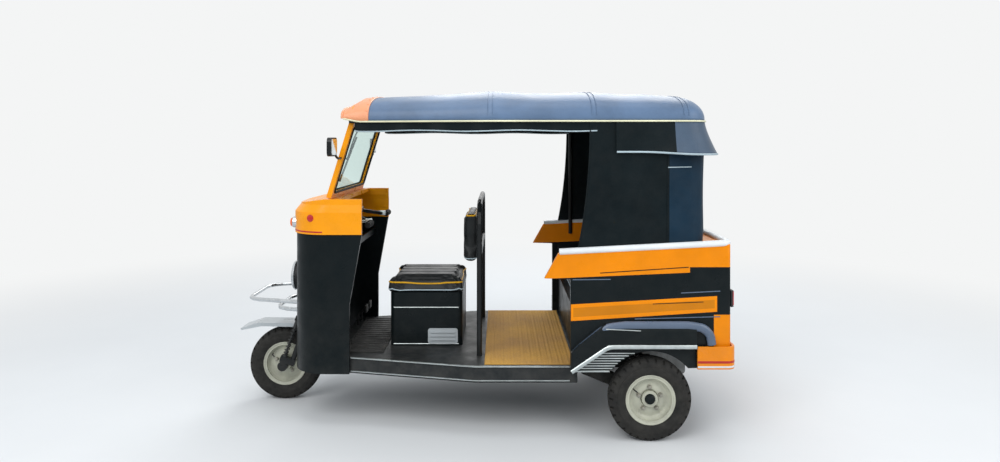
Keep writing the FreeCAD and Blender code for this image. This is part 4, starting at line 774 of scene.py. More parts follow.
def make_hood():
    """Roof sheet over the bows, with its rear closed and its eaves piped."""
    sizes = bpy.context.scene.rickshaw_hood
    first, last = HOOD_FRONT - 0.13, HOOD_REAR
    rows, columns = 72, 120
    # beyond this share the sheet closes the back, from the crown's edge down to the eave
    roof_share = 0.96
    # a power above 1 draws the columns together towards the rounded rear
    crowding = 1.25
    crease_width, crease_depth = 0.42, 0.0035

    def place(u, v):
        if u > roof_share:
            tail = (u - roof_share) / (1 - roof_share)
            edge = hood_point(last, v)
            edge.x -= 0.002 * tail
            edge.z += (HOOD_EAVE - edge.z) * tail
            return edge
        x = first + (last - first) * (1 - (1 - u / roof_share) ** crowding)
        point = hood_point(x, v)
        point.z -= hood_sag(x, v, sizes.sag)
        crease = ripple((point.x, point.y * 0.5, 0), crease_width, 3.1) * crease_depth
        point.z += crease * math.sin(math.pi * v)
        return point

    bm = bmesh.new()
    grid_sheet(bm, rows, columns, place)
    bmesh.ops.remove_doubles(bm, verts=bm.verts, dist=1e-4)
    hood = finished(bm, "hood_sheet", "chassis", "hood", "lining", slot="hood_vinyl", angle=60)
    modifier(hood, "SOLIDIFY", thickness=sizes.skin, offset=-1, material_offset=1)
    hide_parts("hood_roof")
    piping = make_eave_piping(sizes.cord)
    seams = make_hood_seams()


def make_eave_piping(radius):
    """Cream piping along both eaves and round the back; its pale tone is partly painted highlight."""
    first, last, count = HOOD_FRONT - 0.01, FLAP_FRONT + 0.02, 60
    lift = radius * 0.4
    line = [hood_point(first + (last - first) * n / count, 0.0, lift) for n in range(count + 1)]
    right = [Vector((p.x, -p.y, p.z)) for p in reversed(line)]
    back = [p + way * lift + UP * HOOD_EAVE for p, way in zip(*hood_wrap(120))]
    return bar("hood_piping", "cream", "hood_vinyl", line + back + right, radius, 10)


def make_hood_seams():
    """Raised double seams where the cloth is sewn over the bows."""
    half_gap, eave_share, steps = 0.012, 0.03, 60
    bm = bmesh.new()
    for x in HOOD_BOWS[1:]:
        for shift in (-half_gap, half_gap):
            line = [hood_point(x + shift, eave_share + 0.94 * n / steps, 0.0012)
                    for n in range(steps + 1)]
            sweep(bm, line, 0.0022, 6, flat=0.6)
    return finished(bm, "hood_seams", "chassis", "hood", slot="hood_vinyl")


def make_visor():
    """Stiff front of the roof, with a rolled lip and a row of screws."""
    edge = HOOD_FRONT - 0.165
    proud = 0.0035
    lip_steps, screw_steps = 60, 12

    def place(u, v):
        slant = 0.045 * abs(math.cos(math.pi * v))
        x = HOOD_FRONT - 0.001 - (HOOD_FRONT - edge - slant * 0.5) * u
        return hood_point(x, v, proud)

    bm = bmesh.new()
    grid_sheet(bm, 60, 14, place)
    visor = finished(bm, "roof_visor", "chassis", "visor", "lining", slot="orange_paint", angle=60)
    modifier(visor, "SOLIDIFY", thickness=0.004, offset=-1, material_offset=1)
    bm = bmesh.new()
    lip = [hood_point(HOOD_FRONT - 0.004, n / lip_steps, proud) for n in range(lip_steps + 1)]
    sweep(bm, lip, 0.007, 10)
    for n in range(1, screw_steps):
        point = hood_point(edge + 0.03, n / screw_steps, 0.004)
        disc(bm, point, 0.006, 0.004, point - spot(edge, 0, HOOD_EAVE - 0.4), 10, 0.001)
    finished(bm, "roof_visor_lip", "chassis", "visor", slot="orange_paint")


def make_valance():
    """Strips of black vinyl that hang under both eaves, with pale hems."""
    first, last = HOOD_FRONT - 0.07, 0.265
    drop = bpy.context.scene.rickshaw_hood.valance_drop
    columns = 150
    for side, word in ((1, "left"), (-1, "right")):
        def place(u, v):
            x = first + (last - first) * u
            top = hood_point(x, 0.0)
            wave = 0.004 * math.sin(x * 31) + 0.003 * ripple((x, 0, 0), 0.07, 5.0)
            return Vector((top.x, side * (top.y - 0.010 + wave * v), top.z + 0.004 - drop * v
                           + 0.003 * v * math.sin(x * 12)))

        bm = bmesh.new()
        grid_sheet(bm, 6, columns, place)
        strip = finished(bm, "valance_" + word, "chassis", "curtain", slot="curtain_vinyl")
        modifier(strip, "SOLIDIFY", thickness=0.002, offset=0)
        hem = bar("valance_hem_" + word, "hem", "hood_vinyl",
                  [place(n / columns, 1.0) for n in range(columns + 1)], 0.0035, 8)


CURTAIN_FRONT = highest("hood_curtains").x - REAR_AXLE.x - 0.065
CURTAIN_HALF = highest("hood_curtains").y
CURTAIN_REAR = lowest("hood_curtains").x - REAR_AXLE.x
CURTAIN_CORNER = 0.09
# Front edge of the navy part, and of the flap's blue part
NAVY_FRONT = -0.10
FLAP_BLUE_FRONT = -0.12
# Belt line: place ahead of the rear axle and height of both its ends
BELT_FRONT = (0.46, 0.940)
BELT_REAR = (-0.40, 0.985)


def belt_at(x):
    """Height of the belt line at a place ahead of the rear axle."""
    slope = (BELT_FRONT[1] - BELT_REAR[1]) / (BELT_FRONT[0] - BELT_REAR[0])
    return BELT_REAR[1] + slope * (x - BELT_REAR[0])


def curtain_point(line, ways, u, v, fold):
    """Point of the curtain: u along its U, v up from the belt to the hood."""
    count = len(line) - 1
    n = min(int(u * count), count - 1)
    t = u * count - n
    base, way = line[n].lerp(line[n + 1], t), ways[n].lerp(ways[n + 1], t).normalized()
    x = base.x - REAR_AXLE.x
    foot = belt_at(x) + 0.002
    z = foot + (HOOD_EAVE + 0.012 - foot) * v
    flare = 0.062 * (1 - v) ** 2.2 * smoothstep(0.10, 0.30, x)
    envelope = smoothstep(0, 0.12, v) * (1 - smoothstep(0.86, 1, v))
    wave = ripple((u * 9, v * 1.1, 0), 0.55, 2.0) + 0.5 * ripple((u * 21, v * 1.6, 1), 0.6, 7.0)
    lean = 0.004 * (1 - v)
    return base + AHEAD * flare + way * (wave * fold * envelope - lean) + UP * z


def make_curtains():
    """Vinyl round the sides and the back, with a framed clear window."""
    sizes = bpy.context.scene.rickshaw_hood
    columns, rows = 240, 56
    line, ways = wrap_line(CURTAIN_FRONT, CURTAIN_HALF - 0.003, CURTAIN_REAR + 0.003,
                           CURTAIN_CORNER, columns)
    low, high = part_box("rear_window")

    def in_window(face):
        point = face.calc_center_median()
        return (point.x < fore(CURTAIN_REAR + 0.03) and low.y < point.y < high.y
                and low.z < point.z < high.z)

    bm = bmesh.new()
    grid_sheet(bm, rows, columns, lambda u, v: curtain_point(line, ways, u, v, sizes.fold))
    bmesh.ops.delete(bm, geom=[f for f in bm.faces if in_window(f)], context="FACES")
    for face in bm.faces:
        face.material_index = 1 if face.calc_center_median().x < fore(NAVY_FRONT) else 0
    area = sum(f.calc_area() for f in bm.faces)
    curtain = finished(bm, "curtain_sheet", "chassis", "curtain", "rear", slot="curtain_vinyl",
                       angle=70)
    modifier(curtain, "SOLIDIFY", thickness=0.0025, offset=0)
    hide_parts("hood_curtains")

    def run(u1, v1, u2, v2, lift, count=90):
        points = []
        for n in range(count + 1):
            t = n / count
            u, v = u1 + (u2 - u1) * t, v1 + (v2 - v1) * t
            point = curtain_point(line, ways, u, v, sizes.fold)
            points.append(point + ways[min(int(u * columns), columns)] * lift)
        return points

    # the seam between black and navy, and a strap that runs on from it
    length = (line[-1] - line[0]).length + 2 * (CURTAIN_FRONT - CURTAIN_REAR)
    seam = (CURTAIN_FRONT - NAVY_FRONT) / length
    strap_end, strap_height = (CURTAIN_FRONT + 0.225) / length, 0.62
    bm = bmesh.new()
    for u in (0.0, 1.0):
        sweep(bm, run(u, 0, u, 1, 0), 0.004, 8)
    for u in (seam, 1 - seam):
        sweep(bm, run(u, 0, u, 1, 0.002), 0.003, 8)
    edges = finished(bm, "curtain_welts", "chassis", "curtain", slot="curtain_vinyl")
    bm = bmesh.new()
    for u1, u2 in ((seam, strap_end), (1 - strap_end, 1 - seam)):
        sweep(bm, run(u1, strap_height, u2, strap_height, 0.002, 12), 0.0028, 8)
    straps = finished(bm, "curtain_straps", "chassis", "hem", slot="curtain_vinyl")
    rim = rounded_line([(low.x, low.y, low.z), (low.x, high.y, low.z), (low.x, high.y, high.z),
                        (low.x, low.y, high.z)], 0.03, 6, True)
    window_rim = bar("window_welt", "curtain", "curtain_vinyl", rim, 0.011, 12, True, 0.35, up=AHEAD)


def make_flap():
    """Flap of the hood round the back, which lifts away from the curtain at its hem."""
    sizes = bpy.context.scene.rickshaw_hood
    columns = 200
    line, ways = hood_wrap(columns)
    drop = sizes.flap_drop
    side_flare = 0.006

    def place(u, v):
        n = min(int(u * columns), columns - 1) if u < 1 else -1
        base, way = line[n], ways[n]
        back = smoothstep(0.05, -0.25, base.x - REAR_AXLE.x)
        out = (side_flare + (sizes.flap_flare - side_flare) * back) * v ** 1.4
        out += 0.004 * v * ripple((u * 14, v, 0), 0.5, 9.0)
        out -= 0.004 * (1 - v)
        return base + way * out + UP * (HOOD_EAVE + 0.004 - drop * v + 0.012 * v * (1 - back))

    bm = bmesh.new()
    grid_sheet(bm, 14, columns, place)
    # the flap's front takes black vinyl and its back a darker slate than the roof: both are painted
    # shade on the hanging flap
    for face in bm.faces:
        face.material_index = 1 if face.calc_center_median().x < fore(FLAP_BLUE_FRONT) else 0
    flap = finished(bm, "hood_flap", "chassis", "curtain", "flap", slot="hood_vinyl", angle=60)
    modifier(flap, "SOLIDIFY", thickness=0.0025, offset=0)
    hem = bar("hood_flap_hem", "hem", "hood_vinyl",
              [place(n / columns, 1.0) for n in range(columns + 1)], 0.005, 8)
    length = sum((b - a).length for a, b in zip(line, line[1:]))


def make_window_pane():
    """Clear vinyl pane, slightly slack, sewn into the rear curtain."""
    low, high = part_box("rear_window")
    bm = bmesh.new()
    grid_sheet(bm, 16, 36, lambda u, v: Vector((
        (low.x + high.x) / 2 + 0.004 * ripple((u * 3, v * 2, 0), 0.5, 4.0)
        * math.sin(math.pi * u) * math.sin(math.pi * v),
        low.y + (high.y - low.y) * u, low.z + (high.z - low.z) * v)))
    pane = finished(bm, "window_pane", "chassis", "clear", slot="window_vinyl", angle=80)
    modifier(pane, "SOLIDIFY", thickness=0.001, offset=0)
    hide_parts("rear_window")


# Padded seats

# A pad's block is this round at its edges; its skin within this height of its foot stays put
PAD_EDGE = 0.022
PAD_FOOT = 0.004
# Piping above and below: depth under the top, and height over the foot
PIPING_DEPTH = 0.030
HEM_HEIGHT = 0.014


def simulate_swell(piece, swell, frames=20):
    """Blow the cushion up as cloth, keeping its foot flat, and cap how far a point moves."""
    rest = [v.co.copy() for v in piece.data.vertices]
    foot = min(p.z for p in rest) + PAD_FOOT
    group = piece.vertex_groups.new(name="foot")
    group.add([n for n, p in enumerate(rest) if p.z < foot], 1.0, "REPLACE")
    cloth = piece.modifiers.new("Cloth", "CLOTH")
    cloth.settings.use_pressure = True
    cloth.settings.uniform_pressure_force = 4.0
    cloth.settings.effector_weights.gravity = 0.0
    cloth.settings.vertex_group_mass = "foot"
    cloth.settings.quality = 5
    cloth.point_cache.frame_start = 1
    cloth.point_cache.frame_end = frames
    scene = bpy.context.scene
    for number in range(1, frames + 1):
        scene.frame_set(number)
    shape = piece.evaluated_get(bpy.context.evaluated_depsgraph_get())
    moved = [v.co.copy() for v in shape.data.vertices]
    piece.modifiers.remove(cloth)
    scene.frame_set(1)
    for vert, old, new in zip(piece.data.vertices, rest, moved):
        step = new - old
        if step.length > swell:
            step *= swell / step.length
        vert.co = old + step


def make_pad(name, node, low, high, fineness, channels, lean=None, foot=None):
    """Foam pad in vinyl: a swelled block with sewn channels; a seat's lie on top, a back's in front."""
    sizes = bpy.context.scene.rickshaw_seats
    low, high = Vector(low), Vector(high)
    swell = sizes.swell
    bm = bmesh.new()
    slab(bm, low + Vector((swell * 0.5, swell * 0.5, 0)),
         high - Vector((swell * 0.5, swell * 0.5, swell * 0.75)), PAD_EDGE, 4)
    pad = finished(bm, name, "chassis", "seat", slot="seat_vinyl", angle=180)
    modifier(pad, "REMESH", mode="VOXEL", voxel_size=sizes.voxel * fineness, use_smooth_shade=True)
    apply_modifiers(pad)
    simulate_swell(pad, swell)
    modifier(pad, "SUBSURF", levels=1, render_levels=1)
    apply_modifiers(pad)
    carve_channels(pad, low, high, channels, node.endswith("cushion"))
    keep_inside(pad, low, high)
    cord = bar(name + "_piping", "piping", "hood_vinyl",
               piping_line(pad, low, high, high.z - PIPING_DEPTH), sizes.cord, 8, True)
    hem = bar(name + "_hem", "hem", "hood_vinyl",
              piping_line(pad, low, high, low.z + HEM_HEIGHT), sizes.cord * 0.7, 8, True)
    if lean:
        for piece in (pad, cord, hem):
            piece.data.transform(Matrix.Translation(foot) @ Matrix.Rotation(lean, 4, "Y"))
    pad.data.shade_smooth()
    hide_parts(node)


def apply_modifiers(piece):
    """Keep what the piece's modifiers make as its own mesh."""
    shape = piece.evaluated_get(bpy.context.evaluated_depsgraph_get())
    mesh = bpy.data.meshes.new_from_object(shape)
    piece.modifiers.clear()
    old = piece.data
    piece.data = mesh
    if not mesh.materials:
        for material in old.materials:
            mesh.materials.append(material)
    mesh.shade_smooth()


def carve_channels(piece, low, high, channels, on_top):
    """Sink sewn channels at set places across the pad; its edge stays whole."""
    depth = bpy.context.scene.rickshaw_seats.channel
    half_width = 0.016
    # a shallower seam runs round the face at this distance from its rim
    border_inset, border_width, border_share = 0.052, 0.009, 0.8
    sunk_axis, run_axis = ("z", "x") if on_top else ("x", "z")
    start_low, start_high = getattr(low, sunk_axis), getattr(high, sunk_axis)
    face_start = start_low + (start_high - start_low) * 0.55 if on_top else (start_low + start_high) / 2
    for vert in piece.data.vertices:
        height, along = getattr(vert.co, sunk_axis), getattr(vert.co, run_axis)
        if height < face_start:
            continue
        rim = min(vert.co.y - low.y, high.y - vert.co.y, along - getattr(low, run_axis),
                  getattr(high, run_axis) - along)
        sunk = 0.0
        for middle_y in channels:
            gap = abs(vert.co.y - middle_y)
            if gap < half_width:
                sunk = max(sunk, math.cos(gap / half_width * math.pi / 2) ** 0.7)
        border = math.exp(-((rim - border_inset) / border_width) ** 2) * border_share
        sunk = max(sunk * smoothstep(0.03, 0.07, rim), border)
        setattr(vert.co, sunk_axis, height - depth * sunk)


def keep_inside(piece, low, high):
    """A cushion stays in the space that its plain solid holds."""
    for vert in piece.data.vertices:
        for axis in range(3):
            vert.co[axis] = min(max(vert.co[axis], low[axis]), high[axis])


def piping_line(piece, low, high, z):
    """Closed line round a pad at a height, laid on its skin."""
    tree = BVHTree.FromPolygons([v.co for v in piece.data.vertices],
                                [p.vertices for p in piece.data.polygons])
    ring = rounded_line([(low.x, low.y, z), (high.x, low.y, z), (high.x, high.y, z),
                         (low.x, high.y, z)], 0.05, 8, True)
    dense = []
    for a, b in zip(ring, ring[1:] + ring[:1]):
        pieces = max(int((b - a).length / 0.03), 1)
        dense += [a.lerp(b, n / pieces) for n in range(pieces)]
    return [tree.find_nearest(point)[0] for point in dense]


def channel_places(half, pitch):
    """Places of the channels, one in the middle and the rest a pitch apart."""
    count = int(half / pitch)
    return [n * pitch for n in range(-count, count + 1)]


PASSENGER_BACK_LEAN = math.radians(-10)
BACK_THICK = 0.080
BACK_TALL = 0.430
BACK_FOOT = 0.012


def make_passenger_seat():
    """Bench and its back, which leans; the back's front face starts at the bench's rear edge."""
    pitch = bpy.context.scene.rickshaw_seats.pitch
    edge = 0.08
    low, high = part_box("passenger_cushion")
    make_pad("passenger_seat_pad", "passenger_cushion", low, high, 1,
             channel_places(high.y - edge, pitch))
    foot_x = low.x - 0.0012
    low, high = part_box("passenger_backrest")
    make_pad("passenger_back_pad", "passenger_backrest", (-BACK_THICK, low.y, BACK_FOOT),
             (0, high.y, BACK_TALL - BACK_FOOT), 1, channel_places(high.y - edge, pitch),
             PASSENGER_BACK_LEAN, Vector((foot_x, 0, low.z)))


def make_driver_seat():
    """Seat and small upright back, with finer channels than the bench."""
    pitch = bpy.context.scene.rickshaw_seats.pitch * 0.85
    edge, fineness = 0.06, 0.65
    for part, node in (("seat", "driver_cushion"), ("back", "driver_backrest")):
        low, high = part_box(node)
        make_pad("driver_%s_pad" % part, node, low, high, fineness,
                 channel_places(high.y - edge, pitch))


# Wheels: each one's name and outer side, where 1 is left
WHEELS = (("front", 1), ("rear_left", 1), ("rear_right", -1))
# Half-width and radius of a rim's barrel, radius of its well, and the face of its disc
RIM_HALF = 0.038
RIM_RADIUS = highest("front_rim").z - FRONT_AXLE.z
RIM_WELL = 0.107
RIM_FACE = 0.0045


def tyre_profile(groove):
    """Section from bead to bead over the tread: place out from the middle, radius."""
    low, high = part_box("front_tyre")
    half, outer = (high.y - low.y) / 2, (high.z - low.z) / 2
    bead = RIM_RADIUS + 0.0004
    right = [
        (RIM_HALF + 0.002, bead), (RIM_HALF + 0.003, bead + 0.006), (half - 0.007, bead + 0.014),
        (half - 0.003, bead + 0.026), (half - 0.0005, bead + 0.036), (half, bead + 0.042),
        (half - 0.001, bead + 0.047), (half - 0.003, bead + 0.048), (half - 0.003, bead + 0.052),
        (half - 0.006, outer - 0.020), (half - 0.010, outer - 0.012), (half - 0.016, outer - 0.006),
        (0.030, outer - 0.0025), (0.029, outer - groove), (0.025, outer - groove),
        (0.024, outer - 0.0015), (0.013, outer - 0.0005), (0.012, outer - groove),
        (0.008, outer - groove), (0.007, outer),
    ]
    left = [(-place, radius) for place, radius in reversed(right)]
    return right + left


def make_tyre(name):
    """Tyre with a grooved tread whose shoulders and ribs are cut into blocks."""
    sizes = bpy.context.scene.rickshaw_wheels
    centre = middle(name + "_tyre")
    bm = bmesh.new()
    ring_of(bm, tyre_profile(sizes.groove), centre, LEFT, sizes.segments)
    bmesh.ops.recalc_face_normals(bm, faces=bm.faces)
    bm.faces.ensure_lookup_table()
    step = 2 * math.pi / sizes.segments
    # one block in this many is sunk, and the ribs' lie half way between the shoulders'
    spacing = 4
    blocks = []
    for face in bm.faces:
        point = face.calc_center_median() - centre
        out, radius = abs(point.y), math.hypot(point.x, point.z)
        index = int((math.atan2(point.z, point.x) + math.pi) / step)
        shoulder = out > 0.030 and radius > 0.190
        rib = 0.013 < out < 0.024 and radius > 0.205
        if (shoulder and index % spacing == 0) or (rib and index % spacing == spacing // 2):
            blocks.append(face)
    bmesh.ops.inset_individual(bm, faces=blocks, thickness=0.0006, depth=-0.0045)
    tyre = finished(bm, name + "_tyre_tread", name + "_wheel", "tyre", slot="tyre_rubber", angle=28)
    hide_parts(name + "_tyre")


def make_wheel_pressing(name, out):
    """Rolled lips, the pressed ring of the disc and the two steps of the drum's face."""
    centre = middle(name + "_tyre")
    lip = [(RIM_HALF - 0.004, RIM_RADIUS - 0.002), (RIM_HALF + 0.0005, RIM_RADIUS + 0.0035),
           (RIM_HALF + 0.003, RIM_RADIUS + 0.005), (RIM_HALF + 0.0045, RIM_RADIUS + 0.003),
           (RIM_HALF + 0.003, RIM_RADIUS - 0.001), (RIM_HALF + 0.0004, RIM_RADIUS - 0.006)]
    # the disc is pressed out round the nuts and in again towards the well
    swell = [(RIM_FACE - 0.001, 0.041), (RIM_FACE + 0.008, 0.046), (RIM_FACE + 0.009, 0.070),
             (RIM_FACE + 0.004, 0.078), (RIM_FACE + 0.003, 0.090), (RIM_FACE + 0.010, 0.0995),
             (RIM_FACE + 0.020, RIM_WELL - 0.002), (RIM_FACE + 0.020, RIM_WELL + 0.001),
             (RIM_FACE - 0.001, RIM_WELL + 0.001)]
    bm = bmesh.new()
    for side in (1, -1):
        ring_of(bm, lip, centre, LEFT, 96, side)
    ring_of(bm, swell, centre, LEFT, 96, out)
    for radius in (0.060, 0.094):
        drum = [(-RIM_HALF + 0.001, radius - 0.012), (-RIM_HALF - 0.004, radius - 0.010),
                (-RIM_HALF - 0.004, radius + 0.006), (-RIM_HALF + 0.001, radius + 0.009)]
        ring_of(bm, drum, centre, LEFT, 72, out)
    finished(bm, name + "_wheel_pressing", name + "_wheel", "rim", slot="rim_paint")


def make_wheel_fittings():
    """Pressings, nuts, tyre valves and the rear hubs' caps."""
    sizes = bpy.context.scene.rickshaw_wheels
    nuts, first_nut = 5, 0.3
    for name, out in WHEELS:
        make_wheel_pressing(name, out)
        centre, body = middle(name + "_tyre"), name + "_wheel"
        outward = LEFT * out
        bm = bmesh.new()
        for n in range(nuts):
            angle = 2 * math.pi * n / nuts + first_nut
            ring = Vector((math.cos(angle), 0, math.sin(angle))) * sizes.nut_circle
            foot = centre + ring + outward * (RIM_FACE + 0.009)
            # washer, nut and the end of the stud
            disc(bm, foot + outward * 0.001, sizes.nut * 0.72, 0.002, LEFT, 20)
            disc(bm, foot + outward * 0.007, sizes.nut * 0.58, 0.011, LEFT, 6, 0.0012)
            disc(bm, foot + outward * 0.014, sizes.nut * 0.33, 0.006, LEFT, 14, 0.001)
        finished(bm, name + "_wheel_nuts", body, "zinc", slot="chrome")
        bm = bmesh.new()
        valve = centre + Vector((0.080, 0, 0.046)) + outward * 0.012
        sweep(bm, rounded_line([valve, valve + outward * 0.010,
                                valve + Vector((-0.016, out * 0.022, -0.010))], 0.006), 0.0032, 10)
        finished(bm, name + "_valve", body, "rubber", slot="black_plastic")
    cap = [(0.018, 0.0001), (0.046, 0.0001), (0.045, 0.012), (0.040, 0.021), (0.028, 0.026),
           (0.026, 0.027), (0.018, 0.027)]
    for name, out in WHEELS[1:]:
        bm = bmesh.new()
        lathe(bm, [(place * out, radius) for place, radius in cap], middle(name + "_tyre"), LEFT, 40)
        finished(bm, name + "_hub_cap", name + "_wheel", "black", slot="black_paint")


def make_coil(bm, foot, head, radius, wire, turns, per_turn=22):
    """Coil spring between two points, with closed end turns."""
    axis = head - foot
    way = axis.normalized()
    side = way.orthogonal().normalized()
    other = way.cross(side)
    count = int(turns * per_turn)
    points = []
    for n in range(count + 1):
        t = n / count
        angle = 2 * math.pi * turns * t
        climb = smoothstep(0.0, 1.0, t) * 0.35 + t * 0.65
        points.append(foot + axis * climb + (side * math.cos(angle) + other * math.sin(angle))
                      * radius)
    sweep(bm, points, wire, 8)


# Front dampers: both ends along the steering axis, place ahead of it and aside, coil's radius
DAMPER_FOOT, DAMPER_HEAD = 0.2623, 0.4777
DAMPER_AHEAD, DAMPER_ASIDE = 0.052, 0.081
DAMPER_RADIUS = 0.0150


def make_springs():
    """Coils and damper bodies in place of the plain spring solids."""
    low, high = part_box("rear_springs")
    x = (low.x + high.x) / 2
    radius = (high.x - low.x) / 2

    def rear(bm):
        y = high.y - radius
        foot, head = Vector((x, y, low.z)), Vector((x, y, high.z))
        make_coil(bm, foot + UP * 0.008, head - UP * 0.008, radius - 0.006, 0.0055, 6.5)
        for seat in (foot + UP * 0.004, head - UP * 0.004):
            disc(bm, seat, radius * 0.96, 0.008, UP, 32, 0.001)
        disc(bm, (foot + head) / 2, radius * 0.42, (head - foot).length - 0.01, UP, 20)

    def front(bm):
        foot = on_column(DAMPER_AHEAD, DAMPER_ASIDE, DAMPER_FOOT)
        head = on_column(DAMPER_AHEAD, DAMPER_ASIDE, DAMPER_HEAD)
        way = (head - foot).normalized()
        make_coil(bm, foot + way * 0.006, head - way * 0.045, DAMPER_RADIUS - 0.0034, 0.0032, 9)
        disc(bm, foot + way * 0.003, DAMPER_RADIUS, 0.006, way, 24, 0.001)
        disc(bm, head - way * 0.022, DAMPER_RADIUS * 0.86, 0.044, way, 24, 0.001)
        disc(bm, (foot + head) / 2, DAMPER_RADIUS * 0.45, (head - foot).length - 0.004, way, 16)

    springs = pair(rear, "rear_spring_coils", "spring", "black_paint")
    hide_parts("rear_springs")
    dampers = pair(front, "front_damper_coils", "spring", "black_paint", "steering")
    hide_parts("front_dampers")


# Lamps

def make_headlamp():
    """Chrome rim, fluted glass, plated bowl and black shell in place of the plain lamp."""
    low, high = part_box("headlamp")
    radius = (high.z - low.z) / 2
    # the profiles give places along the vehicle, so they turn about a point at its middle
    centre = Vector((0, 0, (low.z + high.z) / 2))
    front = high.x - 0.008
    bm = bmesh.new()
    lathe(bm, [(front - 0.066, 0.0001), (front - 0.064, radius * 0.5), (front - 0.050, radius * 0.78),
               (front - 0.024, radius * 0.90), (front - 0.016, radius * 0.90),
               (front - 0.016, radius * 0.84), (front - 0.030, radius * 0.80),
               (front - 0.058, 0.0001)], centre, AHEAD, 64)
    shell = finished(bm, "headlamp_shell", "chassis", "plastic", slot="black_paint")
    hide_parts("headlamp")
    bm = bmesh.new()
    ring_of(bm, [(front - 0.018, radius - 0.004), (front - 0.012, radius),
                 (front - 0.004, radius - 0.001), (front + 0.002, radius - 0.006),
                 (front + 0.001, radius - 0.011), (front - 0.004, radius - 0.012),
                 (front - 0.014, radius - 0.009)], centre, AHEAD, 72)
    disc(bm, (front - 0.002, 0, centre.z - radius + 0.003), 0.004, 0.008, AHEAD, 10, 0.001)
    finished(bm, "headlamp_rim", "chassis", "chrome", slot="chrome")
    bm = bmesh.new()
    lathe(bm, [(front - 0.006, radius * 0.83), (front - 0.020, radius * 0.72),
               (front - 0.040, radius * 0.42), (front - 0.048, 0.012), (front - 0.050, 0.0001)],
          centre, AHEAD, 56)
    bowl = finished(bm, "headlamp_bowl", "chassis", "reflector", slot="chrome", keep_normals=True)
    modifier(bowl, "SOLIDIFY", thickness=0.001, offset=0)
    bm = bmesh.new()
    ball(bm, (front - 0.034, 0, centre.z), 0.011, (1.5, 1, 1))
    finished(bm, "headlamp_bulb", "chassis", "headlamp", slot="screen_glass")
    bm = bmesh.new()
    lathe(bm, [(front - 0.004, radius - 0.0105), (front + 0.004, radius * 0.78),
               (front + 0.009, radius * 0.5), (front + 0.0108, radius * 0.22),
               (front + 0.0112, 0.0001), (front + 0.008, 0.0001), (front + 0.006, radius * 0.5),
               (front + 0.001, radius * 0.78), (front - 0.006, radius - 0.0105)], centre, AHEAD, 72)
    finished(bm, "headlamp_glass", "chassis", "headlamp", slot="screen_glass")


def make_indicators():
    """Round amber lenses in chromed rims on the front band."""
    low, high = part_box("front_indicators")
    radius = (high.z - low.z) / 2
    centre = Vector((0, high.y - radius, (high.z + low.z) / 2))
    tip = high.x

    def lenses(bm):
        lathe(bm, [(tip - 0.052, 0.0001), (tip - 0.052, radius - 0.004), (tip - 0.014, radius - 0.004),
                   (tip - 0.005, radius * 0.72), (tip - 0.001, radius * 0.35), (tip, 0.0001)],
              centre, AHEAD, 40)

    def rims(bm):
        ring_of(bm, [(tip - 0.055, radius), (tip - 0.020, radius), (tip - 0.016, radius - 0.003),
                     (tip - 0.055, radius - 0.0035)], centre, AHEAD, 40)

    amber = pair(lenses, "indicator_lenses", "amber", "amber_lens")
    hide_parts("front_indicators")
    pair(rims, "indicator_rims", "chrome", "chrome")


# Rear lamps: place of their inner edge, and each chamber's colour with its share of the width
TAIL_LAMP_INNER = 0.5
TAIL_CHAMBERS = (("red", 0.0, 0.40), ("amber", 0.40, 0.72), ("red", 0.72, 1.0))


def make_rear_lamps():
    """Red and amber chambers in a black housing at each rear corner."""
    low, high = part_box("tail_lamps")
    inner = TAIL_LAMP_INNER
    wall, gap = 0.006, 0.0008
    width = high.y - inner - 2 * wall

    def housing(bm):
        slab(bm, (low.x + 0.008, inner, low.z), (high.x, high.y, high.z), 0.005)
        for height in (low.z + 0.003, high.z - 0.007):
            slab(bm, (low.x + 0.004, inner + 0.002, height),
                 (low.x + 0.012, high.y - 0.002, height + 0.004), 0.001)

    shell = pair(housing, "tail_lamp_shells", "plastic", "black_paint")
    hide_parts("tail_lamps")
    for number, (key, first, last) in enumerate(TAIL_CHAMBERS):
        def chamber(bm, first=first, last=last):
            slab(bm, (low.x + 0.001, inner + wall + width * first + gap, low.z + 0.007),
                 (low.x + 0.012, inner + wall + width * last - gap, high.z - 0.007), 0.004, 3)

        pair(chamber, "tail_lens_%d" % number, key, key + "_lens")


# Fittings

def make_body_trims():
    """White belt rail round the rear body, and bright strips along the sills."""
    half, front, last, rear = 0.612, 0.455, -0.335, -0.392
    line = [spot(front - (front - last) * n / 30, half, 0) for n in range(31)]
    corner = rounded_line([line[-2], spot(rear, half, 0), spot(rear, 0, 0)], 0.06, 8)
    left = line[:-1] + corner[1:]
    whole = left + [Vector((p.x, -p.y, p.z)) for p in reversed(left[:-1])]
    for point in whole:
        point.z = belt_at(point.x - REAR_AXLE.x) + 0.007
    bar("belt_rail", "white", "silver_paint", whole, 0.018, 16, False, 0.90, up=UP)

    def sills(bm):
        path = [(0.40, 0.575), (0.88, 0.575), (1.535, 0.428)]
        for z, radius in ((highest("floor_pan").z - 0.004, 0.007),
                          (lowest("floor_pan").z + 0.012, 0.006)):
            line = rounded_line([spot(x, y + 0.001, z) for x, y in path], 0.2, 6)
            sweep(bm, line, radius, 10, False, 0.55, up=UP)

    pair(sills, "sill_strips", "bright", "chrome")


# Half-width of the body inside its pressed flares, and how far a flare stands out from it
BODY_HALF = highest("rear_side_left").y - 0.030
FLARE_OUT = 0.0305
FLARE_TOP = 0.60
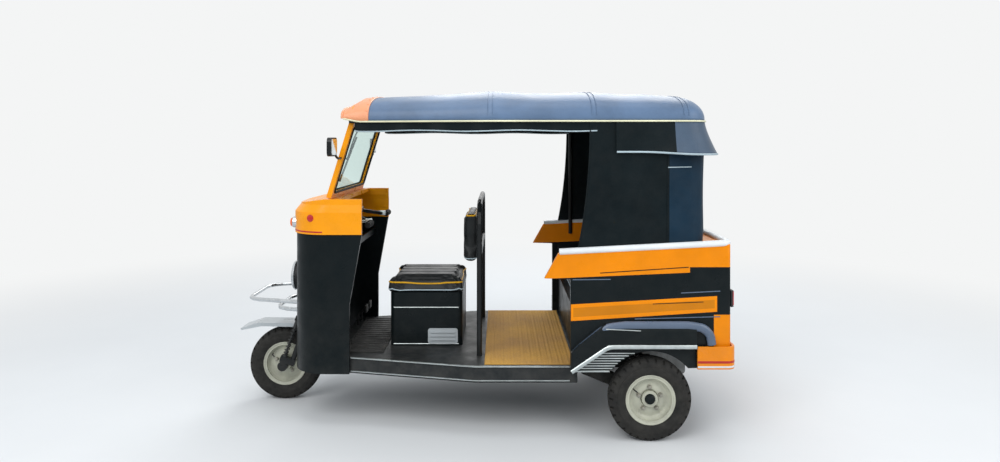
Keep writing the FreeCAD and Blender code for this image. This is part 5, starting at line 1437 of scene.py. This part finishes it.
# Swages of the rear sides: both ends as place and height, radius, finish
SWAGES = (
    # the black bead in the upper orange band is painted shade of a pressed crease
    ((0.252, 0.8425), (-0.188, 0.8715), 0.0022, "black"),
    # the crest finish on these swages is a painted sky reflection along their tops
    ((0.390, 0.809), (0.200, 0.811), 0.0026, "crest"),
    ((-0.150, 0.743), (-0.345, 0.7525), 0.0026, "crest"),
    ((0.080, 0.6135), (-0.345, 0.6255), 0.0026, "crest"),
    ((-0.010, 0.6885), (-0.262, 0.6985), 0.0018, "black"),
    ((0.228, 0.571), (0.056, 0.563), 0.0026, "bright"),
)
FENDER_CREST = ((0.375, 0.447), (0.345, 0.476), (0.225, 0.573), (0.130, 0.585), (-0.180, 0.585),
                (-0.258, 0.573), (-0.292, 0.540), (-0.299, 0.490))
FENDER_LIP = ((0.397, 0.359), (0.214, 0.483), (-0.221, 0.483))
WHEEL_ARCH = 0.249
# Tapes round the bumper: height above its foot, width as a share of thickness, finish
BUMPER_TAPES = ((0.036, 5.0, "red_tape"), (0.012, 4.0, "white_tape"))


def make_side_trims():
    """Swages, fender crests, broad lips and the ribbed plates ahead of the rear wheels."""
    def crests(bm):
        line = rounded_line([spot(x, BODY_HALF + 0.014, z) for x, z in FENDER_CREST], 0.12, 6)
        sweep(bm, line, 0.0150, 18, False, 1.45, up=UP)

    def lips(bm):
        line = rounded_line([spot(x, BODY_HALF + 0.0325, z) for x, z in FENDER_LIP], 0.09, 6)
        sweep(bm, line, 0.0045, 12, False, 2.3, up=UP)

    def ribs(bm):
        (x1, z1), (x2, z2) = FENDER_LIP[:2]
        count, lowest_rib, pitch = 7, 0.368, 0.0125
        for n in range(count):
            z = lowest_rib + n * pitch
            front = x1 - 0.012 + (x2 - x1) * (z - z1) / (z2 - z1)
            rear = math.sqrt(WHEEL_ARCH ** 2 - (z - REAR_AXLE.z) ** 2)
            if front - rear > 0.01:
                sweep(bm, [spot(front, BODY_HALF, z), spot(rear, BODY_HALF, z)], 0.0030, 8)
        sweep(bm, [spot(0.392, BODY_HALF, 0.3535), spot(0.206, BODY_HALF, 0.3535)], 0.0045, 10)

    # the crests' blue-grey is a painted sky reflection on the black fenders
    pair(crests, "fender_crests", "crest", "black_paint")
    pair(lips, "fender_lips", "bright", "chrome")
    pair(ribs, "fender_ribs", "bright", "chrome")
    for number, ((x1, z1), (x2, z2), radius, key) in enumerate(SWAGES):
        def crease(bm, x1=x1, z1=z1, x2=x2, z2=z2, radius=radius):
            out = BODY_HALF + (FLARE_OUT if max(z1, z2) < FLARE_TOP else 0.0)
            sweep(bm, [spot(x1, out, z1), spot(x2, out, z2)], radius, 8)

        pair(crease, "side_swage_%d" % number, key, "black_paint")
    low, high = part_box("rear_bumper")
    front = high.x - 0.001
    ring = rounded_line([(front, high.y, 0), (low.x, high.y, 0), (low.x, -high.y, 0),
                         (front, -high.y, 0)], 0.045, 8)
    for height, wide, key in BUMPER_TAPES:
        bar("bumper_" + key, key, "silver_paint", [p + UP * (low.z + height) for p in ring],
            0.0012, 8, False, wide, up=UP)


def band_line(z, reach):
    """Line round the nose of the front band at a height, laid on its enamel."""
    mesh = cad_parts["cowl_band"].data
    tree = BVHTree.FromPolygons([v.co for v in mesh.vertices], [p.vertices for p in mesh.polygons])
    centre = spot(1.55, 0, z)
    half = 30
    line = []
    for n in range(2 * half + 1):
        angle = math.radians(reach) * (n / half - 1)
        way = Vector((math.cos(angle), math.sin(angle), 0))
        line.append(tree.ray_cast(centre + way, -way)[0])
    return line


def make_front_trims():
    """Red line along the foot of the front band, red reflectors, and strips of the seat box."""
    foot = lowest("cowl_band").z
    bar("band_pinstripe", "red_tape", "orange_paint", band_line(foot + 0.013, 74), 0.0013, 6, False,
        3.4, up=UP)
    # the red lens finish glows faintly; on these reflectors, which hold no lamp, that glow is painted
    # light
    line = band_line(foot + 0.085, 66)
    bm = bmesh.new()
    for point in (line[0], line[-1]):
        disc(bm, point, 0.019, 0.007, point - spot(1.60, 0, point.z), 28, 0.0015)
    finished(bm, "band_reflectors", "chassis", "red", slot="red_lens")
    low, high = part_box("driver_seat_box")
    inset, upper_share = 0.02, 0.72

    def strips(bm):
        for z in (low.z + 0.010, low.z * (1 - upper_share) + high.z * upper_share):
            sweep(bm, [Vector((low.x + inset, high.y, z)), Vector((high.x - inset, high.y, z))],
                  0.0028, 8)

    pair(strips, "seat_box_strips", "bright", "chrome")


# The windscreen leans back; pieces on it are placed along it from its foot
SCREEN_LEAN = math.radians(17)
SCREEN_FOOT = spot(1.640, 0, 1.1953)


def on_screen(ahead, y, along):
    """Point in the frame of the leaning windscreen."""
    return SCREEN_FOOT + Vector((
        ahead * math.cos(SCREEN_LEAN) - along * math.sin(SCREEN_LEAN), y,
        ahead * math.sin(SCREEN_LEAN) + along * math.cos(SCREEN_LEAN)))


def make_screen_fittings():
    """Rubber seals on both faces of the glass, and a single wiper at its top."""
    half, low, high = 0.398, 0.032, 0.393
    bm = bmesh.new()
    for face in (0.0262, -0.0002):
        corners = [on_screen(face, y, s) for y, s in ((-half, low), (half, low), (half, high),
                                                      (-half, high))]
        sweep(bm, rounded_line(corners, 0.022, 5, True), 0.0065, 10, True)
    finished(bm, "screen_seal", "chassis", "rubber", slot="black_plastic")
    pivot_y, pivot_height = 0.06, high + 0.012
    arm = [on_screen(0.040, pivot_y, pivot_height), on_screen(0.046, 0.10, high - 0.07),
           on_screen(0.038, 0.152, high - 0.19)]
    blade = [on_screen(0.0330, 0.104, high - 0.06), on_screen(0.0330, 0.200, high - 0.32)]
    bm = bmesh.new()
    disc(bm, on_screen(0.030, pivot_y, pivot_height), 0.011, 0.022,
         on_screen(1, 0, 0) - on_screen(0, 0, 0), 20, 0.002)
    sweep(bm, rounded_line(arm, 0.1), 0.0042, 8)
    sweep(bm, blade, 0.0050, 8, False, 1.2)
    disc(bm, arm[-1], 0.008, 0.012, LEFT, 12, 0.001)
    finished(bm, "wiper", "chassis", "plastic", slot="black_paint")


def make_mirror_glass():
    """Plated glass on the rear face of each mirror, with rounded corners."""
    face = spot(1.590, 0.565, 1.470)
    half_wide, half_tall = 0.057, 0.040

    def glass_pair(bm):
        slab(bm, face + Vector((-0.0016, -half_wide, -half_tall)),
             face + Vector((-0.0001, half_wide, half_tall)))
        upright = [e for e in bm.edges if abs((e.verts[0].co - e.verts[1].co).x) > 0.001]
        bmesh.ops.bevel(bm, geom=upright, offset=0.018, segments=5, profile=0.5, affect="EDGES",
                        material=-1)

    pair(glass_pair, "mirror_faces", "mirror", "chrome")


# Handlebar, in the frame of the steering axis: height along it and place behind it
BAR_HEIGHT, BAR_BACK = 1.180, -0.176
DIAL_AHEAD, DIAL_HEIGHT = -0.012, 1.2005


def make_handlebar_fittings():
    """Ribbed grips, levers and a round speed dial on the pod."""
    def grips(bm):
        for n in range(9):
            disc(bm, on_column(BAR_BACK, 0.256 + n * 0.0105, BAR_HEIGHT), 0.0178, 0.006, LEFT, 20,
                 0.0018)

    def levers(bm):
        root = on_column(BAR_BACK + 0.030, 0.222, BAR_HEIGHT - 0.004)
        line = [root, on_column(BAR_BACK + 0.055, 0.262, BAR_HEIGHT - 0.010),
                on_column(BAR_BACK + 0.050, 0.345, BAR_HEIGHT - 0.016)]
        sweep(bm, rounded_line(line, 0.03), 0.0048, 8, False, 1.5, up=UP)
        ball(bm, line[-1], 0.0075)
        slab(bm, root - Vector((0.030, 0.010, 0.013)), root + Vector((0.008, 0.014, 0.015)), 0.004)

    pair(grips, "grip_ribs", "grip", "black_plastic", "steering")
    pair(levers, "hand_levers", "bright", "chrome", "steering")
    face = on_column(DIAL_AHEAD, 0, DIAL_HEIGHT)
    way = on_column(0, 0, 1) - on_column(0, 0, 0)
    ahead = on_column(1, 0, 0) - on_column(0, 0, 0)
    bm = bmesh.new()
    disc(bm, face + way * 0.004, 0.046, 0.010, way, 48, 0.002)
    finished(bm, "speed_dial_ring", "steering", "chrome", slot="chrome")
    bm = bmesh.new()
    disc(bm, face + way * 0.0094, 0.040, 0.0016, way, 48)
    finished(bm, "speed_dial_face", "steering", "dial", slot="silver_paint")
    bm = bmesh.new()
    for n in range(-5, 6):
        angle = n * math.radians(24)
        ray = ahead * math.cos(angle) + LEFT * math.sin(angle)
        sweep(bm, [face + way * 0.0104 + ray * 0.031, face + way * 0.0104 + ray * 0.037], 0.0008, 4)
    needle = LEFT * 0.8 + ahead * 0.6
    sweep(bm, [face + way * 0.0108, face + way * 0.0108 + needle * 0.030], 0.0011, 4)
    finished(bm, "speed_dial_marks", "steering", "plastic", slot="black_paint")


def make_mats():
    """Ribbed passenger mat in place of the plain one, the driver's rubber mat and the pedals."""
    low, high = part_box("floor_mat")
    count, half_rib, margin = 26, 0.0042, 0.012
    bm = bmesh.new()
    slab(bm, low, (high.x, high.y, high.z - 0.0015), 0.002)
    for n in range(count):
        x = low.x + (high.x - low.x) * (n + 0.5) / count
        slab(bm, (x - half_rib, low.y + margin, high.z - 0.0025),
             (x + half_rib, high.y - margin, high.z), 0.0010, 1)
    mat = finished(bm, "passenger_mat", "chassis", "mat", slot="floor_mat")
    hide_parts("floor_mat")
    floor = highest("floor_pan").z
    half_width, ribs = 0.34, 16
    bm = bmesh.new()
    slab(bm, spot(1.375, -0.36, floor), spot(1.60, 0.36, floor + 0.005), 0.002)
    for n in range(ribs):
        y = -half_width + 2 * half_width * n / (ribs - 1)
        slab(bm, spot(1.385, y - 0.005, floor + 0.004), spot(1.59, y + 0.005, floor + 0.007), 0.001,
             1)
    finished(bm, "driver_mat", "chassis", "rubber", slot="black_plastic")
    half_pad = Vector((0.006, 0.030, 0.022))
    bm = bmesh.new()
    for y in (-0.13, -0.24):
        pad = spot(1.56, y, floor + 0.12)
        stem = [spot(1.61, y, floor + 0.02), spot(1.61, y, floor + 0.08), pad]
        sweep(bm, rounded_line(stem, 0.03), 0.006, 8)
        slab(bm, pad - half_pad, pad + half_pad, 0.003)
    finished(bm, "pedals", "chassis", "rubber", slot="black_plastic")


# Outer face of the rear panel, ahead of the rear axle
REAR_FACE = -0.400


def make_plates():
    """Blank number plate on the rear panel, with its screws."""
    rear = fore(REAR_FACE)
    bm = bmesh.new()
    slab(bm, (rear - 0.003, -0.15, 0.885), (rear - 0.0003, 0.15, 0.968), 0.001, 1)
    finished(bm, "rear_plate", "chassis", "rear_plate", slot="silver_paint")
    bm = bmesh.new()
    for y in (-0.08, 0.08):
        disc(bm, (rear - 0.005, y, 0.925), 0.006, 0.005, AHEAD, 14, 0.001)
    finished(bm, "rear_plate_screws", "chassis", "zinc", slot="chrome")


def make_fasteners():
    """Round-headed screws on the bumper, and the hatch's handle."""
    low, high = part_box("rear_bumper")
    bm = bmesh.new()
    for y in (-0.55, -0.28, 0.28, 0.55):
        for z in (low.z + 0.022, high.z - 0.022):
            ball(bm, (low.x, y, z), 0.008, (0.4, 1, 1), 12)
    finished(bm, "bumper_screws", "chassis", "zinc", slot="chrome")
    rear = fore(REAR_FACE)
    half, grip = 0.055, 0.022
    lift = Vector((rear - 0.001, 0, lowest("engine_hatch").z + 0.045))
    handle = rounded_line([lift + LEFT * half, lift + Vector((-grip, half, 0)),
                           lift + Vector((-grip, -half, 0)), lift - LEFT * half], 0.012)
    bm = bmesh.new()
    sweep(bm, handle, 0.0055, 10)
    for y in (-half, half):
        disc(bm, (rear - 0.002, y, lift.z), 0.012, 0.004, AHEAD, 20, 0.001)
    finished(bm, "hatch_handle", "hatch", "chrome", slot="chrome")


def make_engine_fittings():
    """Cooling fins, and bellows over the inner ends of the drive shafts."""
    low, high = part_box("engine_block")
    fins, pitch, margin = 11, 0.019, 0.030
    bm = bmesh.new()
    for n in range(fins):
        z = low.z + 0.05 + n * pitch
        slab(bm, (low.x - 0.006, low.y + margin, z), (low.x + 0.004, high.y - margin, z + 0.005),
             0.001, 1)
    finished(bm, "engine_fins", "chassis", "alloy", slot="engine_metal")

    def gaiter(bm):
        profile = [(0.0, 0.0142), (0.0, 0.050)]
        for n in range(6):
            fold = 0.046 - n * 0.0040
            profile += [(0.010 + n * 0.014, fold), (0.017 + n * 0.014, fold - 0.010)]
        profile += [(0.100, 0.021), (0.100, 0.0142)]
        ring_of(bm, profile, (REAR_AXLE.x, high.y + 0.0006, REAR_AXLE.z), LEFT, 28)

    pair(gaiter, "shaft_gaiters", "rubber", "black_plastic")


# Finish of each node that stays: material, then the width of its softened edges
NODE_FINISHES = {
    "floor_pan": ("floor", 0.003), "underframe": ("chassis", 0.003),
    "front_cowl": ("black", 0), "cowl_band": ("band", 0), "dash_shelf": ("black", 0.002),
    "steering_head": ("chassis", 0), "windscreen_frame": ("band", 0.003),
    "windscreen_glass": ("screen", 0), "roof_frame": ("tube", 0),
    "rear_side_left": ("striped", 0.003), "rear_side_right": ("striped", 0.003),
    "fender_trims": ("bright", 0.002), "rear_panel": ("striped", 0.002),
    "engine_hatch": ("black", 0), "rear_bumper": ("orange", 0.002), "seat_base": ("black", 0.002),
    "driver_seat_box": ("black", 0), "seat_box_vent": ("silver", 0), "driver_hoop": ("tube", 0),
    "front_guard": ("chrome", 0), "mirrors": ("tube", 0), "engine_block": ("alloy", 0),
    "silencer": ("exhaust", 0), "rear_arms": ("chassis", 0), "drive_shafts": ("zinc", 0),
    "steering_fork": ("tube", 0), "front_mudguard": ("silver", 0), "handlebar": ("tube", 0),
    "front_rim": ("rim", 0), "rear_left_rim": ("rim", 0), "rear_right_rim": ("rim", 0),
}


def finish_nodes():
    """Give each kept node its finish and joined, softened edges."""
    for name, (key, edge) in NODE_FINISHES.items():
        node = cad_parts[name]
        node.data.materials.clear()
        node.data.materials.append(FINISHES[key])
        node.data.polygons.foreach_set("material_index", [0] * len(node.data.polygons))
        if edge:
            modifier(node, "WELD", merge_threshold=0.00002)
            modifier(node, "DECIMATE", decimate_type="DISSOLVE", angle_limit=math.radians(0.5))
            modifier(node, "BEVEL", width=edge, segments=2, limit_method="ANGLE",
                     angle_limit=math.radians(40), harden_normals=False)


BACKDROP = "F4F5F5"
# The floor fades into the backdrop between these distances from its middle
FADE_START, FADE_END = 2.2, 6.5
# Lights of the stage: name, place, width, watts
LIGHTS = (
    ("key", (2.4, 5.5, 5.6), 4.5, 270), ("fill", (-4.8, 3.6, 3.6), 4.0, 120),
    ("back", (-1.0, -5.5, 5.0), 4.5, 180), ("top", (0.2, 0.4, 6.5), 4.0, 100),
)


def seen(tree, *kinds):
    """1 for camera rays and for the given kinds of ray, which all see the pale backdrop."""
    rays = add(tree, "ShaderNodeLightPath").outputs
    share = rays["Is Camera Ray"]
    for kind in kinds:
        share = add(tree, "ShaderNodeMath", {0: share, 1: rays[kind]}, operation="MAXIMUM").outputs[0]
    return share


def floor_finish():
    """Pale floor paper that fades into the backdrop some metres behind the vehicle."""
    material, tree, shader, place = start("Studio floor", Roughness=0.8, Specular_IOR_Level=0.1)
    pale = faded(tree, place, linear("DFE1E2"), 900, 0.015)
    tree.links.new(pale, shader.inputs["Base Color"])
    away = add(tree, "ShaderNodeVectorMath", {0: place}, operation="LENGTH")
    far = add(tree, "ShaderNodeMapRange", {
        "Value": away.outputs["Value"], "From Min": FADE_START, "From Max": FADE_END, "To Min": 0.0,
        "To Max": 1.0}, interpolation_type="SMOOTHSTEP").outputs["Result"]
    share = add(tree, "ShaderNodeMath", {0: far, 1: seen(tree, "Is Transmission Ray")},
                operation="MULTIPLY").outputs[0]
    glow = add(tree, "ShaderNodeEmission", {"Color": linear(BACKDROP), "Strength": 1.0})
    mixed = add(tree, "ShaderNodeMixShader", {0: share, 1: shader.outputs[0], 2: glow.outputs[0]})
    tree.links.new(mixed.outputs[0], tree.nodes["Material Output"].inputs["Surface"])
    return material


def make_stage():
    """Pale studio floor, soft lamps and the camera at the photograph's place."""
    sizes = bpy.context.scene.rickshaw_stage
    scene = bpy.context.scene
    scene.view_settings.view_transform = "Standard"
    bm = bmesh.new()
    bmesh.ops.create_circle(bm, cap_ends=True, segments=96, radius=sizes.floor)
    mesh = bpy.data.meshes.new("studio_floor")
    bm.to_mesh(mesh)
    bm.free()
    floor = bpy.data.objects.new("studio_floor", mesh)
    scene.collection.objects.link(floor)
    mesh.materials.append(floor_finish())

    world = bpy.data.worlds.new("Studio")
    scene.world = world
    world.use_nodes = True
    tree = world.node_tree
    backdrop = tree.nodes["Background"]
    backdrop.inputs["Color"].default_value = linear(BACKDROP)
    backdrop.inputs["Strength"].default_value = 1.0
    soft = add(tree, "ShaderNodeBackground", {"Color": linear("E6EDF4"), "Strength": 0.62})
    share = seen(tree, "Is Glossy Ray", "Is Transmission Ray")
    mixed = add(tree, "ShaderNodeMixShader", {0: share, 1: soft.outputs[0], 2: backdrop.outputs[0]})
    tree.links.new(mixed.outputs[0], tree.nodes["World Output"].inputs["Surface"])

    aim_height = 0.8
    aim = Vector(((CAD_BOX[0][0] + CAD_BOX[1][0]) / 2, 0, aim_height))
    for name, at, width, watts in LIGHTS:
        light = bpy.data.lights.new(name, "AREA")
        light.size = width
        light.energy = watts
        lamp = bpy.data.objects.new(name, light)
        lamp.location = at
        lamp.rotation_euler = (aim - Vector(at)).to_track_quat("-Z", "Y").to_euler()
        scene.collection.objects.link(lamp)

    camera = bpy.data.cameras.new("camera")
    camera.sensor_width = 36
    camera.lens = FOCAL_PIXELS / PHOTO_WIDTH * camera.sensor_width
    camera.shift_y = -HORIZON_RISE / PHOTO_WIDTH
    camera.clip_end = 200
    eye = bpy.data.objects.new("camera", camera)
    eye.location = spot(sizes.eye_x, sizes.eye_y, sizes.eye_z)
    eye.rotation_euler = (math.radians(90), 0, math.radians(180))
    scene.collection.objects.link(eye)
    scene.camera = eye


class RICKSHAW_OT_stage(bpy.types.Operator):
    """Make the floor, the light and the camera"""
    bl_idname = "rickshaw.stage"
    bl_label = "Stage"

    def execute(self, context):
        make_stage()
        return {"FINISHED"}


class RICKSHAW_OT_finishes(bpy.types.Operator):
    """Make the materials and finish the frame's own pieces"""
    bl_idname = "rickshaw.finishes"
    bl_label = "Finishes"

    def execute(self, context):
        make_finishes()
        finish_nodes()
        return {"FINISHED"}


class RICKSHAW_OT_hood(bpy.types.Operator):
    """Make the hood's roof, visor, valance and rear flap"""
    bl_idname = "rickshaw.hood"
    bl_label = "Hood"

    def execute(self, context):
        make_hood()
        make_visor()
        make_valance()
        make_flap()
        return {"FINISHED"}


class RICKSHAW_OT_curtains(bpy.types.Operator):
    """Make the side and rear curtains and the clear window"""
    bl_idname = "rickshaw.curtains"
    bl_label = "Curtains"

    def execute(self, context):
        make_curtains()
        make_window_pane()
        return {"FINISHED"}


class RICKSHAW_OT_seats(bpy.types.Operator):
    """Make the padded seats of the driver and the passengers"""
    bl_idname = "rickshaw.seats"
    bl_label = "Seats"

    def execute(self, context):
        make_passenger_seat()
        make_driver_seat()
        return {"FINISHED"}


class RICKSHAW_OT_wheels(bpy.types.Operator):
    """Make the treaded tyres and the wheels' nuts, valves and caps"""
    bl_idname = "rickshaw.wheels"
    bl_label = "Wheels"

    def execute(self, context):
        for name, _ in WHEELS:
            make_tyre(name)
        make_wheel_fittings()
        return {"FINISHED"}


class RICKSHAW_OT_springs(bpy.types.Operator):
    """Make the coil springs and the engine's fittings"""
    bl_idname = "rickshaw.springs"
    bl_label = "Springs and engine"

    def execute(self, context):
        make_springs()
        make_engine_fittings()
        return {"FINISHED"}


class RICKSHAW_OT_lamps(bpy.types.Operator):
    """Make the headlamp, the indicators and the rear lamps"""
    bl_idname = "rickshaw.lamps"
    bl_label = "Lamps"

    def execute(self, context):
        make_headlamp()
        make_indicators()
        make_rear_lamps()
        return {"FINISHED"}


class RICKSHAW_OT_fittings(bpy.types.Operator):
    """Make the trims, wiper, mirror glass, handlebar fittings, mats, plates and screws"""
    bl_idname = "rickshaw.fittings"
    bl_label = "Fittings"

    def execute(self, context):
        make_body_trims()
        make_side_trims()
        make_front_trims()
        make_screen_fittings()
        make_mirror_glass()
        make_handlebar_fittings()
        make_mats()
        make_plates()
        make_fasteners()
        return {"FINISHED"}


class RICKSHAW_PT_panel(bpy.types.Panel):
    """Steps of the rickshaw's making"""
    bl_idname = "RICKSHAW_PT_panel"
    bl_label = "Rickshaw"
    bl_space_type = "VIEW_3D"
    bl_region_type = "UI"
    bl_category = "Rickshaw"

    def draw(self, context):
        for step in STEPS:
            self.layout.operator(step.bl_idname)


STEPS = (RICKSHAW_OT_stage, RICKSHAW_OT_finishes, RICKSHAW_OT_hood, RICKSHAW_OT_curtains,
         RICKSHAW_OT_seats, RICKSHAW_OT_wheels, RICKSHAW_OT_springs, RICKSHAW_OT_lamps,
         RICKSHAW_OT_fittings)
GROUPS = {"rickshaw_colours": PaintColours, "rickshaw_hood": HoodSizes,
          "rickshaw_seats": SeatSizes, "rickshaw_wheels": WheelSizes, "rickshaw_stage": StageSizes}


def register():
    for name, group in GROUPS.items():
        bpy.utils.register_class(group)
        setattr(bpy.types.Scene, name, bpy.props.PointerProperty(type=group))
    for step in STEPS:
        bpy.utils.register_class(step)
    bpy.utils.register_class(RICKSHAW_PT_panel)


def unregister():
    bpy.utils.unregister_class(RICKSHAW_PT_panel)
    for step in reversed(STEPS):
        bpy.utils.unregister_class(step)
    for name, group in reversed(GROUPS.items()):
        delattr(bpy.types.Scene, name)
        bpy.utils.unregister_class(group)


def main():
    register()
    for step in STEPS:
        area, word = step.bl_idname.split(".")
        getattr(getattr(bpy.ops, area), word)()


if __name__ == "__main__":
    main()
